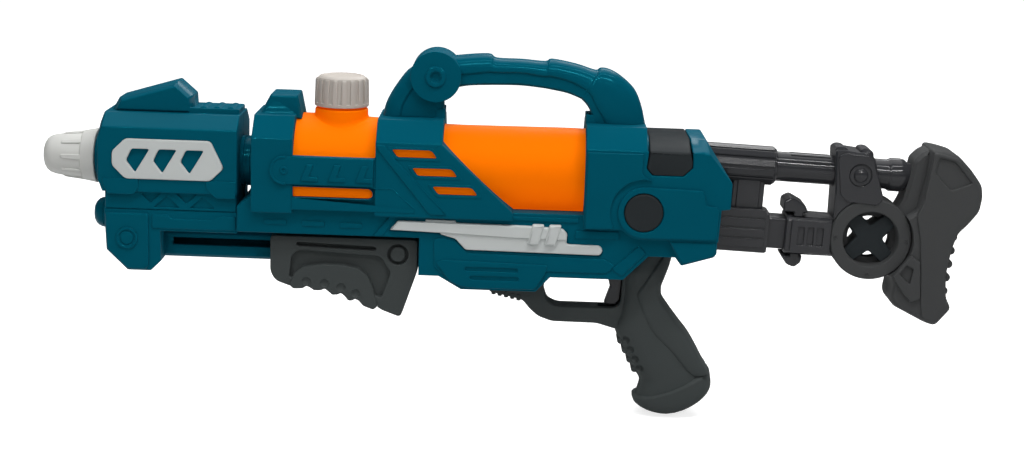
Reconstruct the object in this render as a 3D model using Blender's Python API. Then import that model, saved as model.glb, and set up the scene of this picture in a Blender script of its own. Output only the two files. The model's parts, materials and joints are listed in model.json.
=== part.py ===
"""Pump-action water squirter: moulded shells, tank, pump, trigger valve and telescoping stock.

Lengths are in millimetres and are turned into metres where meshes are made.
The origin is where the hand holds the pistol grip; -X is the nozzle, +Z is up, -Y is the left side.
"""
import math

import bmesh
import bpy
from mathutils import Vector

MM = 0.001

# Fits and walls
CLEAR = 0.3
PARTING = CLEAR / 2
WALL = 2.4
THIN = 1.6
CUT = 4.0
ROUND_STEPS = 32
MEDIUM_STEPS = 20
SMALL_STEPS = 10

# Stations along the body, worked forward from the rear housing
REAR_X0 = -61.0
REAR_WINDOW = 97.0
MID_LENGTH = 45.0
FRONT_WINDOW = 56.0
COLLAR_LENGTH = 28.0
NECK_GAP = 10.5
FRONT_LENGTH = 95.0
MID_X1 = REAR_X0 - REAR_WINDOW
MID_X0 = MID_X1 - MID_LENGTH
COLLAR_X1 = MID_X0 - FRONT_WINDOW
COLLAR_X0 = COLLAR_X1 - COLLAR_LENGTH
FRONT_X1 = COLLAR_X0 - NECK_GAP
FRONT_X0 = FRONT_X1 - FRONT_LENGTH

# Body section: flat top, sloped shoulders, upright sides
AXIS_Z = 113.0
HOUSING_TOP = 149.0
SHOULDER_DROP = 14.0
SHOULDER_Z = HOUSING_TOP - SHOULDER_DROP
BODY_HALF = 38.0
TOP_HALF = 23.0
WIDE_BOTTOM = 84.0
BRIDGE_BOTTOM = 103.0
BRIDGE_TOP = 124.0
BRIDGE_LAP = 6.0
BRIDGE_SET = 0.5

# Collar with its sight block
SIGHT_RISE = 13.0
SIGHT_HALF = 15.0
COLLAR_BOSS_R = 9.2
COLLAR_BOSS_PROUD = 1.2

# Middle housing: a slanted rear edge and three slanted slots
MID_FOOT = 49.0
SLOT_LENGTH = 28.0
SLOT_HEIGHT = 6.2
SLOT_LEAN = 4.5
SLOT_X = 10.0
SLOT_TOP = 131.0
SLOT_STEP_X = 14.0
SLOT_STEP_Z = 12.3
SLOT_COUNT = 3

# Lower hull
HULL_SET = 5.0
HULL_HALF = BODY_HALF - HULL_SET
STRIP_TOP = 87.0
STRIP_BOTTOM = 69.0
FRONT_SILL_RISE = 11.0
REAR_SILL_RISE = 5.0
FRONT_SILL = WIDE_BOTTOM + FRONT_SILL_RISE
REAR_SILL = WIDE_BOTTOM + REAR_SILL_RISE
LOWER_X0 = -172.5
LOWER_BOTTOM = 42.8
LOWER_RUN = 14.0
KEEL_X0 = -143.0
KEEL_X1 = -91.6
KEEL_BOTTOM = 34.0
BELLY_X0 = -82.0
BELLY_BOTTOM = 44.5
SEAT_X0 = -32.0
SEAT_X1 = -15.3
SEAT_TOP = 61.5
SEAT_X2 = 3.0

# Rear housing outline, from the top rear corner down to the tail; its top steps down at the saddle
REAR_EDGE = [(12.0, HOUSING_TOP), (19.0, 144.7), (22.2, 140.0), (38.7, 115.0), (38.4, 97.0), (32.4, 96.3)]
TAIL_DROP = 6.3
TAIL_TOP = HOUSING_TOP - TAIL_DROP
TAIL_TOP_HALF = 20.5
TAIL_X = 31.0
TAIL_Z = 66.0
TAIL_LOW = [(29.0, 63.2), (6.8, 56.5)]
TAIL_BLOCK_X = -4.0
TAIL_BLOCK_SET = 0.8
REAR_FRONT_Z = 80.5

# Side disc in its raised ring, and the saddle cover over the top
DISC_X = -20.4
DISC_Z = 93.2
DISC_R = 13.1
DISC_RING_R = 17.5
DISC_MOUNT_R = 19.0
PANEL_BOTTOM = DISC_Z - DISC_MOUNT_R
DISC_PROUD = 1.6
DISC_DEPTH = 1.4
SADDLE_X0 = -19.5
SADDLE_TOP_X1 = 9.5
SADDLE_X1 = 11.0
SADDLE_NECK_Z = TAIL_TOP - 3.4
SADDLE_BOTTOM = 119.4
SADDLE_BEVEL = 5.5

# Tank with its neck
TANK_FRONT_GAP = 6.0
TANK_REAR_REACH = 16.0
TANK_FRONT_R = 34.8
TANK_MID_R = 33.0
TANK_REAR_R = 30.2
TANK_WALL = 1.8
TANK_DOME = 1.0
TANK_X0 = COLLAR_X0 + TANK_FRONT_GAP
TANK_X1 = REAR_X0 + TANK_REAR_REACH
NECK_X = -229.6
NECK_R = 18.0
NECK_TOP = 153.5
THREAD_R = 15.6
THREAD_TOP = 170.5
MOUTH_R = 13.2

# Cap and gasket
CAP_R = 18.8
CAP_TAPER = 0.9
CAP_BOTTOM = 154.0
CAP_TOP = 175.0
CAP_DECK = 2.4
CAP_FLUTES = 20
CAP_FLUTE_DEPTH = 0.7
GASKET_THICK = 1.4

# Barrel and nozzle
BARREL_R = 17.5
BARREL_BORE = 11.0
BARREL_OUT = 5.0
BARREL_IN = 2.4
BARREL_END = 3.0
SPIGOT_R = 14.6
SPIGOT_LENGTH = 6.0
NOZZLE_LENGTH = 37.0
NOZZLE_BASE_R = 18.9
NOZZLE_BASE_LENGTH = 8.5
NOZZLE_MID_R = 14.2
NOZZLE_TIP_R = 7.0
NOZZLE_HOLE_R = 2.2
NOZZLE_LIP = 10.0

# Front shell: shroud, fin, truss band, beam and block
FRONT_HALF = 30.0
FRONT_TOP = 147.0
FRONT_SHOULDER_Z = 138.0
FRONT_TOP_HALF = 18.0
FRONT_NOSE = 3.0
FRONT_SIDE_BOTTOM = 93.5
TRUSS_HALF = 26.0
BEAM_HALF = 27.5
BEAM_TOP = 81.0
BEAM_BOTTOM = 66.5
BLOCK_SET = 3.5
BLOCK_LENGTH = 39.0
BLOCK_BOTTOM = 38.4
BLOCK_NOSE = 16.0
BLOCK_HEEL = 7.0
BLOCK_CHIN = 14.0
FIN_HALF = 15.0
FIN_TOP_HALF = 9.0
FIN_FRONT = 5.5
FIN_LEAN = 6.0
FIN_LOW = 156.0
FIN_HIGH = 168.0
FIN_PEAK = 51.0
FIN_BACK = 63.0
FIN_BACK_Z = 158.5
FIN_BASE = 145.0
FIN_STEP_TOP = 150.5
FIN_EDGE = 3.0

# Side plate on the front shell, with three windows
PLATE_SET = 10.0
PLATE_LENGTH = 76.0
PLATE_BOTTOM = 103.0
PLATE_HEIGHT = 27.5
PLATE_SLANT = 9.0
PLATE_DEPTH = 1.2
PLATE_PROUD = 1.4
WINDOW_TOP = 123.8
WINDOW_BOTTOM = 107.2
WINDOW_WIDTH = 12.2
WINDOW_LEAN = 10.0
WINDOW_SET = 13.5
WINDOW_STEP = 18.5
WINDOW_COUNT = 3

# Front plug
PLUG_Z = 73.0
PLUG_R = 10.8
PLUG_OUT = 11.5
PLUG_STEM_R = 7.0
PLUG_STEM = 9.0

# Pump rail: a box tube with a slot along each side
RAIL_HALF = 13.0
RAIL_TOP = 65.0
RAIL_BOTTOM = 45.3
RAIL_WALL = 2.6
RAIL_BEVEL = 2.5
RAIL_SOCKET = 11.0
RAIL_SLOT_LOW = 54.5
RAIL_SLOT_HIGH = 59.4
RAIL_SLOT_END = 6.0

# Pump: cylinder, guide, head, rod and piston on one line
PUMP_Z = 56.95
PUMP_TRAVEL = 72.0
CYL_R = 9.0
CYL_BORE = 7.5
CYL_X0 = -164.0
CYL_X1 = -74.0
GUIDE_FLANGE = 3.0
GUIDE_SPIGOT = 4.0
HEAD_SPIGOT = 3.0
HEAD_LENGTH = 10.5
HEAD_HALF = 8.0
PORT_R = 3.0
PORT_REACH = 3.0
PISTON_LENGTH = 8.0
PISTON_R = 7.15
PISTON_STAND = 1.2
RING_WIDTH = 2.0
RING_GROOVE_R = 5.4
ROD_R = 3.0
ROD_SEAT = 8.0
LINK_LENGTH = 34.0
LINK_SET = 42.0
LUG_LENGTH = 20.0
LUG_REACH = 4.0

# Pump grip
PUMP_X0 = -275.4
PUMP_X1 = LOWER_X0 - 0.8
PUMP_TOP = BEAM_BOTTOM - CLEAR
PUMP_HALF = 22.0
PUMP_EDGE = 4.0
PUMP_LOW = [(-184.5, 10.0), (-200.5, 16.0), (-255.8, 28.3), (-262.0, 29.5), (-271.5, 33.5)]
PUMP_HEEL_Z = 43.6
PUMP_TOE_Z = 40.0
PUMP_CAVITY_TOP = 40.0

# Water line
HOSE_R = 2.5
HOSE_BORE = 1.5
HOSE_Y = 7.0
HOSE_LOW_Z = 67.0
HOSE_HIGH_Z = 74.2
HOSE_CHANNEL = 3.6
HOSE_RISE_X = -100.0
HOSE_LEVEL_X = -150.0
HOSE_BEND = 12.0
INLET_X = -338.0
INLET_TOP = 98.5
NIPPLE_R = 1.2
NIPPLE_REACH = 4.0
FEED_X = -67.4
FEED_R = 3.4
FEED_BORE = 1.8
FEED_REACH = 4.0
VALVE_X0 = -56.0
VALVE_X1 = -43.0
VALVE_HALF = 10.0
VALVE_BOTTOM = 52.0
VALVE_TOP = 70.0
VALVE_BORE_R = 3.2
COUPLER_R = 4.8

# Cavities in the lower hull and the ribs that carry the pump
CAVITY_TOP = 78.6
RIB_THICK = 3.0
RIB_XS = (-138.0, -100.0)

# Trigger, its pin, plunger and spring
PIVOT_X = -34.0
PIVOT_Z = 50.5
PIN_R = 2.0
PIN_HALF = 14.0
HUB_R = 5.0
BOSS_R = 5.0
TRIGGER_HALF = 4.5
TRIGGER_SLOT_HALF = 5.2
TRIGGER_TIP_Z = 19.5
TRIGGER_FRONT = -41.5
TRIGGER_BACK = -30.5
TRIGGER_TOE = -43.0
ARM_HEIGHT = 11.5
ARM_HALF_X = 2.6
TRIGGER_STROKE_X = 7.5
PLUNGER_R = 2.0
PLUNGER_HEAD_R = 2.8
PLUNGER_LENGTH = 14.0
SPRING_Z = 31.0
SPRING_R = 3.0
SPRING_WIRE = 0.45
SPRING_TURNS = 4
SPRING_POINTS = 8

# Pistol grip with the guard
GRIP_HALF = 16.0
GRIP_EDGE = 4.0
GUARD_HALF = 9.0
GUARD_EDGE = 2.0
GRIP_FRONT = [(-34.4, 3.2), (-30.4, -6.5), (-23.9, -19.6), (-14.9, -34.0), (-17.5, -46.4)]
GRIP_BASE = [(-19.6, -49.0), (-11.6, -54.9), (1.0, -58.1), (14.4, -54.5), (30.5, -44.6), (35.4, -36.5)]
GRIP_BACK = [(32.9, -24.3), (29.1, -20.2), (17.4, 0.1), (2.4, 19.0), (-3.4, 28.4), (-3.3, 36.8), (-0.2, 45.3)]
GUARD_X0 = -124.0
GUARD_OUTER = [(GUARD_X0, 27.0), (-100.3, 22.0), (-94.8, 15.5), (-88.7, 9.6), (-79.2, 6.9), (-47.6, 6.9)]
GUARD_GAP_X0 = -86.0
GUARD_GAP_X1 = -41.9
GUARD_GAP_Z = 18.0
GUARD_GAP_ROUND = 6.0

# Side trim on the lower hull
TRIM_DEPTH = 1.0
TRIM_PROUD = 1.4
TRIM_TOP = [(-187.5, 80.6), (-147.0, 80.6), (-95.9, 79.8), (-71.5, 77.7)]
TRIM_TAIL = [(-70.6, 68.7), (-49.0, 67.5), (-46.6, 64.1), (-48.7, 60.8)]
TRIM_LOW = [(-140.4, 61.7), (-148.0, 69.2), (-159.7, 72.8), (-192.6, 73.6)]

# Carry handle
HANDLE_HALF = 12.0
HANDLE_EDGE = 4.0
HANDLE_WALL = 2.8
HANDLE_FOOT_Z = HOUSING_TOP + CLEAR
HANDLE_FRONT_X0 = MID_X0 + 2.0
HANDLE_FRONT_X1 = MID_X1 + 0.5
HANDLE_REAR_X0 = REAR_X0 + 4.0
HANDLE_REAR_X1 = SADDLE_X0 - 0.6
HANDLE_RISE = 44.0
HANDLE_BAR = 20.5
HANDLE_FRONT_LEG = [(0.0, 0.0), (4.0, 11.0), (12.0, 24.0)]
HANDLE_OVER = [
    (-182.0, 11.0), (-150.0, 2.0), (-128.0, 0.0), (-123.5, 2.5), (-89.0, 3.0), (-86.0, 2.0),
    (-53.0, 8.5), (-44.3, 9.6), (-31.3, 21.5), (-24.0, 34.0),
]
HANDLE_BELOW = [(-65.5, 7.5), (-79.5, 3.0), (-107.0, 0.0), (-134.7, 0.3), (-148.5, 2.5)]
HANDLE_LEAN = 1.4
HANDLE_LEAN_RISE = 9.7
HANDLE_DISC_X = -164.7
HANDLE_DISC_Z = 177.0
HANDLE_DISC_R = 16.8
HANDLE_DISC_HALF = 15.5

# Stock, in its own frame: u runs back along the tubes, w is up
STOCK_X = 36.0
STOCK_Z = 100.0
STOCK_DROP = 2.2
UPPER_W = 23.3
UPPER_SLEEVE_R = 13.4
UPPER_TUBE_R = 10.3
UPPER_BORE_R = 8.0
UPPER_TUBE_U1 = 150.0
UPPER_TUBE_BULGE_U = 115.0
UPPER_TUBE_BULGE = 12.0
UPPER_TENON_R = 7.0
SLEEVE_U0 = -24.0
SLEEVE_U1 = 35.0
SLEEVE_FLUTES = 12
SLEEVE_FLUTE_DEPTH = 0.8
LOWER_W = -22.3
LOWER_SLEEVE_HALF = 13.0
LOWER_SLEEVE_RISE = 15.3
LOWER_SLEEVE_U1 = 33.0
LOWER_TUBE_HALF = 9.0
LOWER_TUBE_RISE = 11.2
LOWER_TUBE_WALL = 2.0
TUBE_U0 = -14.0
BOX_BEVEL = 2.5
WEB_U0 = 6.0
WEB_U1 = 28.0
WEB_HALF = 8.0
BRACKET_HALF = 14.0
BRACKET_U0 = 45.0
BRACKET_U1 = 84.0
BRACKET_TOP = -8.8
BRACKET_BOTTOM = -35.4
RING_U = 104.0
RING_W = -20.8
RING_R = 28.6
ARM_LAP = 0.6
ARM_ROOT_U = RING_U - RING_R + ARM_LAP
ARM_OUTLINE = [
    (ARM_ROOT_U, 12.0), (73.8, 36.8), (73.8, 39.4), (79.4, 39.8), (91.6, 38.7),
    (96.6, 40.3), (101.1, 35.2), (110.0, 6.0), (84.0, -30.0), (ARM_ROOT_U + 2.0, -30.0),
]
ARM_HALF = 14.0
RING_HOLE_R = 20.0
RING_HALF = 14.0
RING_EDGE = 3.0
CROSS_HALF = 5.0
CROSS_BAR = 9.6
CROSS_HUB_R = 6.0
TAB_U0 = 50.0
TAB_THICK = 6.4
TAB_HALF = 11.0
TAB_TRAVEL = 2.0
TAB_TOP_HEAD = [(42.3, -6.4), (42.3, 1.1), (47.3, 4.2), (57.0, -0.5), (59.9, -6.4)]
TAB_LOW_HEAD = [(43.3, -37.0), (48.2, -43.6), (53.7, -45.4), (58.0, -41.6), (58.3, -37.0)]
BUTT_HALF = 19.0
BUTT_EDGE = 4.5
BUTT_FRONT = [(122.0, -5.0), (133.0, 2.0), (137.0, 24.0), (138.0, 45.8)]
BUTT_REAR = [(145.6, 45.0), (156.8, 42.5), (167.0, 33.1), (175.6, 22.8), (177.1, 14.5), (176.1, 4.2), (170.0, -5.6)]
BUTT_NECK = [(165.4, -8.8), (161.1, -22.2), (159.2, -41.8), (162.5, -58.0), (164.9, -65.3)]
BUTT_FOOT = [(155.0, -78.5), (147.3, -76.7), (123.8, -66.1), (121.3, -61.1), (122.5, -51.3), (115.0, -38.0)]

# Screws: heads sunk from the right side, blind holes in the left half
SCREW_HEAD_R = 3.0
SCREW_HEAD = 2.0
SCREW_SHANK_R = 1.3
SCREW_REACH = 7.0
SCREW_SEAT = 5.0
BOSS_WALL_R = 4.6
SIGHT_SCREW = (-270.0, 153.5)
KEEL_SCREW = (-124.0, 43.5)
TAIL_SCREW = (-2.0, 70.0)
BODY_SCREWS = [SIGHT_SCREW, KEEL_SCREW, TAIL_SCREW]
FRONT_SCREWS = [(-365.0, 153.0), (-379.0, 54.0)]
HANDLE_SCREWS = [(HANDLE_DISC_X, HANDLE_DISC_Z)]
GRIP_SCREWS = [(8.0, -44.0)]
PUMP_SCREWS = [(-186.0, 36.0)]
STOCK_SCREWS = [(155.0, 14.0)]

# Colours, as linear values, and finish
TEAL = (0.0, 0.084, 0.137)
ORANGE = (1.0, 0.205, 0.002)
PALE = (0.55, 0.56, 0.54)
DARK = (0.036, 0.042, 0.044)
GLOSS_DARK = (0.03, 0.031, 0.034)
BLACK = (0.012, 0.012, 0.012)
CLEAR_HOSE = (0.6, 0.63, 0.62)
STEEL = (0.55, 0.55, 0.56)


def clear_scene():
    for obj in list(bpy.data.objects):
        bpy.data.objects.remove(obj, do_unlink=True)


def make_material(name, colour, roughness, metallic=0.0):
    material = bpy.data.materials.new(name)
    material.use_nodes = True
    shader = material.node_tree.nodes["Principled BSDF"]
    shader.inputs["Base Color"].default_value = (*colour, 1.0)
    shader.inputs["Roughness"].default_value = roughness
    shader.inputs["Metallic"].default_value = metallic
    material.diffuse_color = (*colour, 1.0)
    return material


def make_materials():
    return {
        "teal": make_material("teal_plastic", TEAL, 0.3),
        "orange": make_material("orange_tank", ORANGE, 0.35),
        "pale": make_material("pale_plastic", PALE, 0.45),
        "dark": make_material("dark_plastic", DARK, 0.6),
        "gloss": make_material("dark_gloss", GLOSS_DARK, 0.25),
        "rubber": make_material("black_rubber", BLACK, 0.7),
        "hose": make_material("hose_vinyl", CLEAR_HOSE, 0.3),
        "steel": make_material("steel", STEEL, 0.3, 1.0),
    }


# Mesh helpers


def link(name, bm, material=None, parent=None):
    bmesh.ops.recalc_face_normals(bm, faces=bm.faces)
    mesh = bpy.data.meshes.new(name)
    bm.to_mesh(mesh)
    bm.free()
    obj = bpy.data.objects.new(name, mesh)
    bpy.context.scene.collection.objects.link(obj)
    if material:
        mesh.materials.append(material)
    obj.parent = parent
    return obj


def tool(name, bm, parent=None):
    """A shape that is only joined to or cut from others."""
    obj = link("tool_" + name, bm, parent=parent)
    obj.hide_render = True
    obj.display_type = "WIRE"
    return obj


def combine(obj, operation, operands):
    """One Boolean with all the operands at once, so that nothing is rounded in between."""
    label = f"{obj.name}_{operation.lower()}_{len(obj.modifiers)}"
    group = bpy.data.collections.new(label)
    for operand in operands:
        group.objects.link(operand)
    modifier = obj.modifiers.new(label, "BOOLEAN")
    modifier.operation = operation
    modifier.solver = "EXACT"
    modifier.operand_type = "COLLECTION"
    modifier.collection = group
    return obj


def join(obj, operands):
    return combine(obj, "UNION", operands)


def carve(obj, operands):
    return combine(obj, "DIFFERENCE", operands)


def loft(sections):
    """A closed body through rings of points, one ring for each section."""
    bm = bmesh.new()
    rings = [[bm.verts.new(Vector(point) * MM) for point in section] for section in sections]
    count = len(rings[0])
    for near, far in zip(rings, rings[1:]):
        for i in range(count):
            j = (i + 1) % count
            bm.faces.new((near[i], near[j], far[j], far[i]))
    bm.faces.new(rings[0])
    bm.faces.new(reversed(rings[-1]))
    return bm


def side_loft(levels):
    """A loft across the width: each level is a y and an outline in x and z."""
    return loft([[(x, y, z) for x, z in outline] for y, outline in levels])


def long_loft(levels):
    """A loft along the length: each level is an x and an outline in y and z."""
    return loft([[(x, y, z) for y, z in outline] for x, outline in levels])


def slab(outline, y0, y1):
    return side_loft([(y0, outline), (y1, outline)])


def box(x0, x1, y0, y1, z0, z1):
    return slab([(x0, z0), (x1, z0), (x1, z1), (x0, z1)], y0, y1)


def at_axis(axis, centre, along, radius, angle):
    side = radius * math.cos(angle)
    lift = radius * math.sin(angle)
    if axis == "X":
        return (along, centre[0] + side, centre[1] + lift)
    if axis == "Y":
        return (centre[0] + side, along, centre[1] + lift)
    return (centre[0] + side, centre[1] + lift, along)


def turned(profile, axis, centre, steps, closed=False, flute=0.0, flute_above=0.0):
    """A body turned about an axis from points of distance along it and radius."""
    bm = bmesh.new()
    rings = []
    for along, radius in profile:
        if radius == 0.0:
            pole = bm.verts.new(Vector(at_axis(axis, centre, along, 0.0, 0.0)) * MM)
            rings.append([pole] * steps)
            continue
        ring = []
        for i in range(steps):
            depth = flute if i % 2 and radius > flute_above else 0.0
            point = at_axis(axis, centre, along, radius - depth, math.tau * i / steps)
            ring.append(bm.verts.new(Vector(point) * MM))
        rings.append(ring)
    pairs = list(zip(rings, rings[1:]))
    if closed:
        pairs.append((rings[-1], rings[0]))
    for near, far in pairs:
        for i in range(steps):
            j = (i + 1) % steps
            corners = []
            for vert in (near[i], near[j], far[j], far[i]):
                if vert not in corners:
                    corners.append(vert)
            if len(corners) > 2:
                bm.faces.new(corners)
    return bm


def rod(axis, centre, start, end, radius, steps=SMALL_STEPS):
    return turned([(start, 0.0), (start, radius), (end, radius), (end, 0.0)], axis, centre, steps)


def pipe(axis, centre, start, end, radius, bore, steps=MEDIUM_STEPS):
    return turned([(start, bore), (start, radius), (end, radius), (end, bore)], axis, centre, steps, closed=True)


def in_triangles(bm):
    """The body with flat triangles only, for lofts whose sides twist."""
    bmesh.ops.triangulate(bm, faces=bm.faces)
    return bm


def signed_area(outline):
    total = 0.0
    for (x0, z0), (x1, z1) in zip(outline, outline[1:] + outline[:1]):
        total += x0 * z1 - x1 * z0
    return total / 2


def inset(outline, distance):
    """The outline with every edge moved inwards, or outwards for a negative distance."""
    turn = 1.0 if signed_area(outline) > 0 else -1.0
    count = len(outline)
    moved = []
    for i in range(count):
        before = Vector(outline[i - 1])
        here = Vector(outline[i])
        after = Vector(outline[(i + 1) % count])
        edge_in = (here - before).normalized()
        edge_out = (after - here).normalized()
        normal_in = Vector((-edge_in.y, edge_in.x)) * turn
        normal_out = Vector((-edge_out.y, edge_out.x)) * turn
        middle = normal_in + normal_out
        reach = middle.dot(normal_in)
        point = here + middle * (distance / max(reach, 0.35))
        moved.append((point.x, point.y))
    return moved


def bevelled_box(half, low, high, bevel):
    """A box section in y and z with its corners cut."""
    return [
        (-half + bevel, low), (half - bevel, low), (half, low + bevel), (half, high - bevel),
        (half - bevel, high), (-half + bevel, high), (-half, high - bevel), (-half, low + bevel),
    ]


def rounded(outline_corner, start, end, radius, steps=4):
    """Points of a quarter turn about a corner's centre."""
    points = []
    for i in range(steps + 1):
        angle = math.radians(start + (end - start) * i / steps)
        points.append((outline_corner[0] + radius * math.cos(angle), outline_corner[1] + radius * math.sin(angle)))
    return points


def past(side, step=0):
    """A place beyond the mid-plane; steps keep joined shapes off one plane."""
    return -side * (CUT + step)


def parting_tool(side, parent=None):
    """The far side of the mid-plane, cut from a half shell last."""
    reach = FRONT_X0 * 2
    return tool(
        "parting_" + label_of(side),
        box(reach, -reach, side * PARTING, -side * BODY_HALF * 2, reach, -reach), parent,
    )


def half_levels(side, outline, half, edge, step=0):
    """Levels of a half shell whose outer rim is drawn in by an edge."""
    return [
        (past(side, step), outline),
        (side * (half - edge), outline),
        (side * half, inset(outline, edge * 0.6)),
    ]


def half_hollow(side, outline, half, wall):
    core = inset(outline, wall)
    return [(-side * CUT, core), (side * (half - wall), core)]


def swept_tube(points, radius, bore, steps):
    """A hose along points in one upright plane."""
    bm = bmesh.new()
    path = [Vector(point) * MM for point in points]
    across = Vector((0.0, 1.0, 0.0))
    outer_rings = []
    inner_rings = []
    for i, here in enumerate(path):
        before = path[max(i - 1, 0)]
        after = path[min(i + 1, len(path) - 1)]
        forward = (after - before).normalized()
        up = forward.cross(across)
        outer = []
        inner = []
        for k in range(steps):
            angle = math.tau * k / steps
            spoke = (across * math.cos(angle) + up * math.sin(angle)) * MM
            outer.append(bm.verts.new(here + spoke * radius))
            inner.append(bm.verts.new(here + spoke * bore))
        outer_rings.append(outer)
        inner_rings.append(inner)
    loops = outer_rings + inner_rings[::-1]
    for near, far in zip(loops, loops[1:] + loops[:1]):
        for k in range(steps):
            j = (k + 1) % steps
            bm.faces.new((near[k], near[j], far[j], far[k]))
    return bm


def bend(corner, start, end, radius, steps=4):
    """Points that round a corner between two straight runs in x and z."""
    corner = Vector(corner)
    back = (Vector(start) - corner).normalized()
    ahead = (Vector(end) - corner).normalized()
    first = corner + back * radius
    last = corner + ahead * radius
    points = []
    for i in range(steps + 1):
        t = i / steps
        point = first * (1 - t) ** 2 + corner * 2 * t * (1 - t) + last * t ** 2
        points.append((point.x, point.y))
    return points


# Screws


def screw_tools(label, places, parent=None):
    """Cutters for a row of screws: sunk holes on the right, blind holes on the left."""
    right = []
    left = []
    for i, place in enumerate(places):
        far = BODY_HALF + CUT
        hole = [
            (-CUT, 0.0), (-CUT, SCREW_SHANK_R + CLEAR), (SCREW_SEAT, SCREW_SHANK_R + CLEAR),
            (SCREW_SEAT, SCREW_HEAD_R + CLEAR), (far, SCREW_HEAD_R + CLEAR), (far, 0.0),
        ]
        right.append(tool(f"{label}_sink_{i}", turned(hole, "Y", place, SMALL_STEPS), parent))
        blind = rod("Y", place, CUT, -SCREW_REACH - CLEAR, SCREW_SHANK_R + CLEAR)
        left.append(tool(f"{label}_blind_{i}", blind, parent))
    return {1: right, -1: left}


def screw_bosses(label, places, side, outer, parent=None):
    """Posts inside a half shell for screws that would cross its hollow."""
    return [
        tool(f"{label}_boss_{i}_{side}", rod("Y", place, past(side, 7 + i), side * outer, BOSS_WALL_R), parent)
        for i, place in enumerate(places)
    ]


def make_screws(name, places, material, parent=None):
    seat = SCREW_SEAT + CLEAR
    profile = [
        (-SCREW_REACH, 0.0), (-SCREW_REACH, SCREW_SHANK_R), (seat, SCREW_SHANK_R),
        (seat, SCREW_HEAD_R), (seat + SCREW_HEAD, SCREW_HEAD_R), (seat + SCREW_HEAD, 0.0),
    ]
    for i, place in enumerate(places):
        link(f"{name}_{i + 1}", turned(profile, "Y", place, SMALL_STEPS), material, parent)


def label_of(side):
    return "left" if side < 0 else "right"


# Body shells


def hull_outline():
    bottom = [
        (FRONT_X1 + CLEAR, STRIP_BOTTOM), (LOWER_X0, STRIP_BOTTOM), (LOWER_X0, LOWER_BOTTOM),
        (LOWER_X0 + LOWER_RUN, LOWER_BOTTOM), (KEEL_X0, KEEL_BOTTOM), (KEEL_X1, KEEL_BOTTOM),
        (BELLY_X0, BELLY_BOTTOM), (SEAT_X0, BELLY_BOTTOM), (SEAT_X1, SEAT_TOP), (SEAT_X2, SEAT_TOP),
    ]
    tail = TAIL_LOW[::-1] + [(TAIL_X, TAIL_Z)]
    top = [
        (TAIL_X, REAR_SILL), (MID_X1, REAR_SILL), (MID_X1, FRONT_SILL),
        (COLLAR_X0, FRONT_SILL), (FRONT_X1 + CLEAR, STRIP_TOP),
    ]
    return bottom + tail + top


def collar_outline(top):
    return [(COLLAR_X0, WIDE_BOTTOM), (COLLAR_X1, WIDE_BOTTOM), (COLLAR_X1, top), (COLLAR_X0, top)]


def mid_outline(top):
    """At lower tops the slanted edge keeps its line down from the shoulder."""
    return [
        (MID_X0, WIDE_BOTTOM), (MID_X1 + MID_FOOT, WIDE_BOTTOM), (MID_X1 + MID_FOOT, REAR_SILL + 0.5),
        (MID_X1, SHOULDER_Z - CLEAR), (MID_X1, top), (MID_X0, top),
    ]


def rear_outline(top):
    edge = [(x, min(z, top)) for x, z in REAR_EDGE]
    if top < REAR_EDGE[2][1]:
        edge[0] = (REAR_EDGE[0][0], top)
        edge[1] = (REAR_EDGE[1][0], top - CLEAR)
        edge[2] = (REAR_EDGE[2][0] + CLEAR, top - 2 * CLEAR)
    rise = math.degrees(math.asin((DISC_Z - REAR_FRONT_Z) / DISC_MOUNT_R))
    mount = rounded((DISC_X, DISC_Z), 270.0, 180.0 + rise, DISC_MOUNT_R)
    return [(REAR_X0, top)] + edge + [(TAIL_X + CLEAR, PANEL_BOTTOM)] + mount + [(REAR_X0, REAR_FRONT_Z)]


def tail_block_outline():
    """The block under the rear housing, down to the tail."""
    high = PANEL_BOTTOM + WALL
    return inset([(TAIL_BLOCK_X, high), (TAIL_X, high), (TAIL_X, TAIL_Z)] + TAIL_LOW, CLEAR)


def shouldered(side, outline, step):
    return side_loft([
        (past(side, step), outline(HOUSING_TOP)),
        (side * TOP_HALF, outline(HOUSING_TOP)),
        (side * BODY_HALF, outline(SHOULDER_Z)),
    ])


def sight_outline():
    x0, x1 = COLLAR_X0, COLLAR_X1
    top = HOUSING_TOP + SIGHT_RISE
    return [(x0 + 1.0, HOUSING_TOP - CUT), (x0 + 10.0, top), (x1 + 0.5, top), (x1 + 4.0, HOUSING_TOP - CUT)]


def body_additions(side):
    name = label_of(side)
    outer = side * BODY_HALF
    inner = side * (BODY_HALF - WALL)
    sight = half_levels(side, sight_outline(), SIGHT_HALF, WALL, 4)
    bridge = box(COLLAR_X1 - BRIDGE_LAP, MID_X0 + BRIDGE_LAP, inner, outer - side * BRIDGE_SET, BRIDGE_BOTTOM, BRIDGE_TOP)
    ring_face = side * (BODY_HALF + DISC_PROUD)
    boss_face = side * (BODY_HALF + COLLAR_BOSS_PROUD)
    boss_at = (COLLAR_X1 - COLLAR_BOSS_R + CUT, AXIS_Z)
    return [
        tool("collar_" + name, shouldered(side, collar_outline, 1)),
        tool("mid_" + name, shouldered(side, mid_outline, 2)),
        tool("rear_" + name, shouldered(side, rear_outline, 3)),
        tool("sight_" + name, side_loft(sight)),
        tool("bridge_" + name, bridge),
        tool("disc_ring_" + name, rod("Y", (DISC_X, DISC_Z), inner + side * 0.7, ring_face, DISC_RING_R, ROUND_STEPS)),
        tool("collar_boss_" + name, rod("Y", boss_at, inner + side * 0.9, boss_face, COLLAR_BOSS_R, MEDIUM_STEPS)),
        tool("tail_block_" + name, slab(tail_block_outline(), side * (HULL_HALF - THIN), outer - side * TAIL_BLOCK_SET)),
    ]


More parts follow.
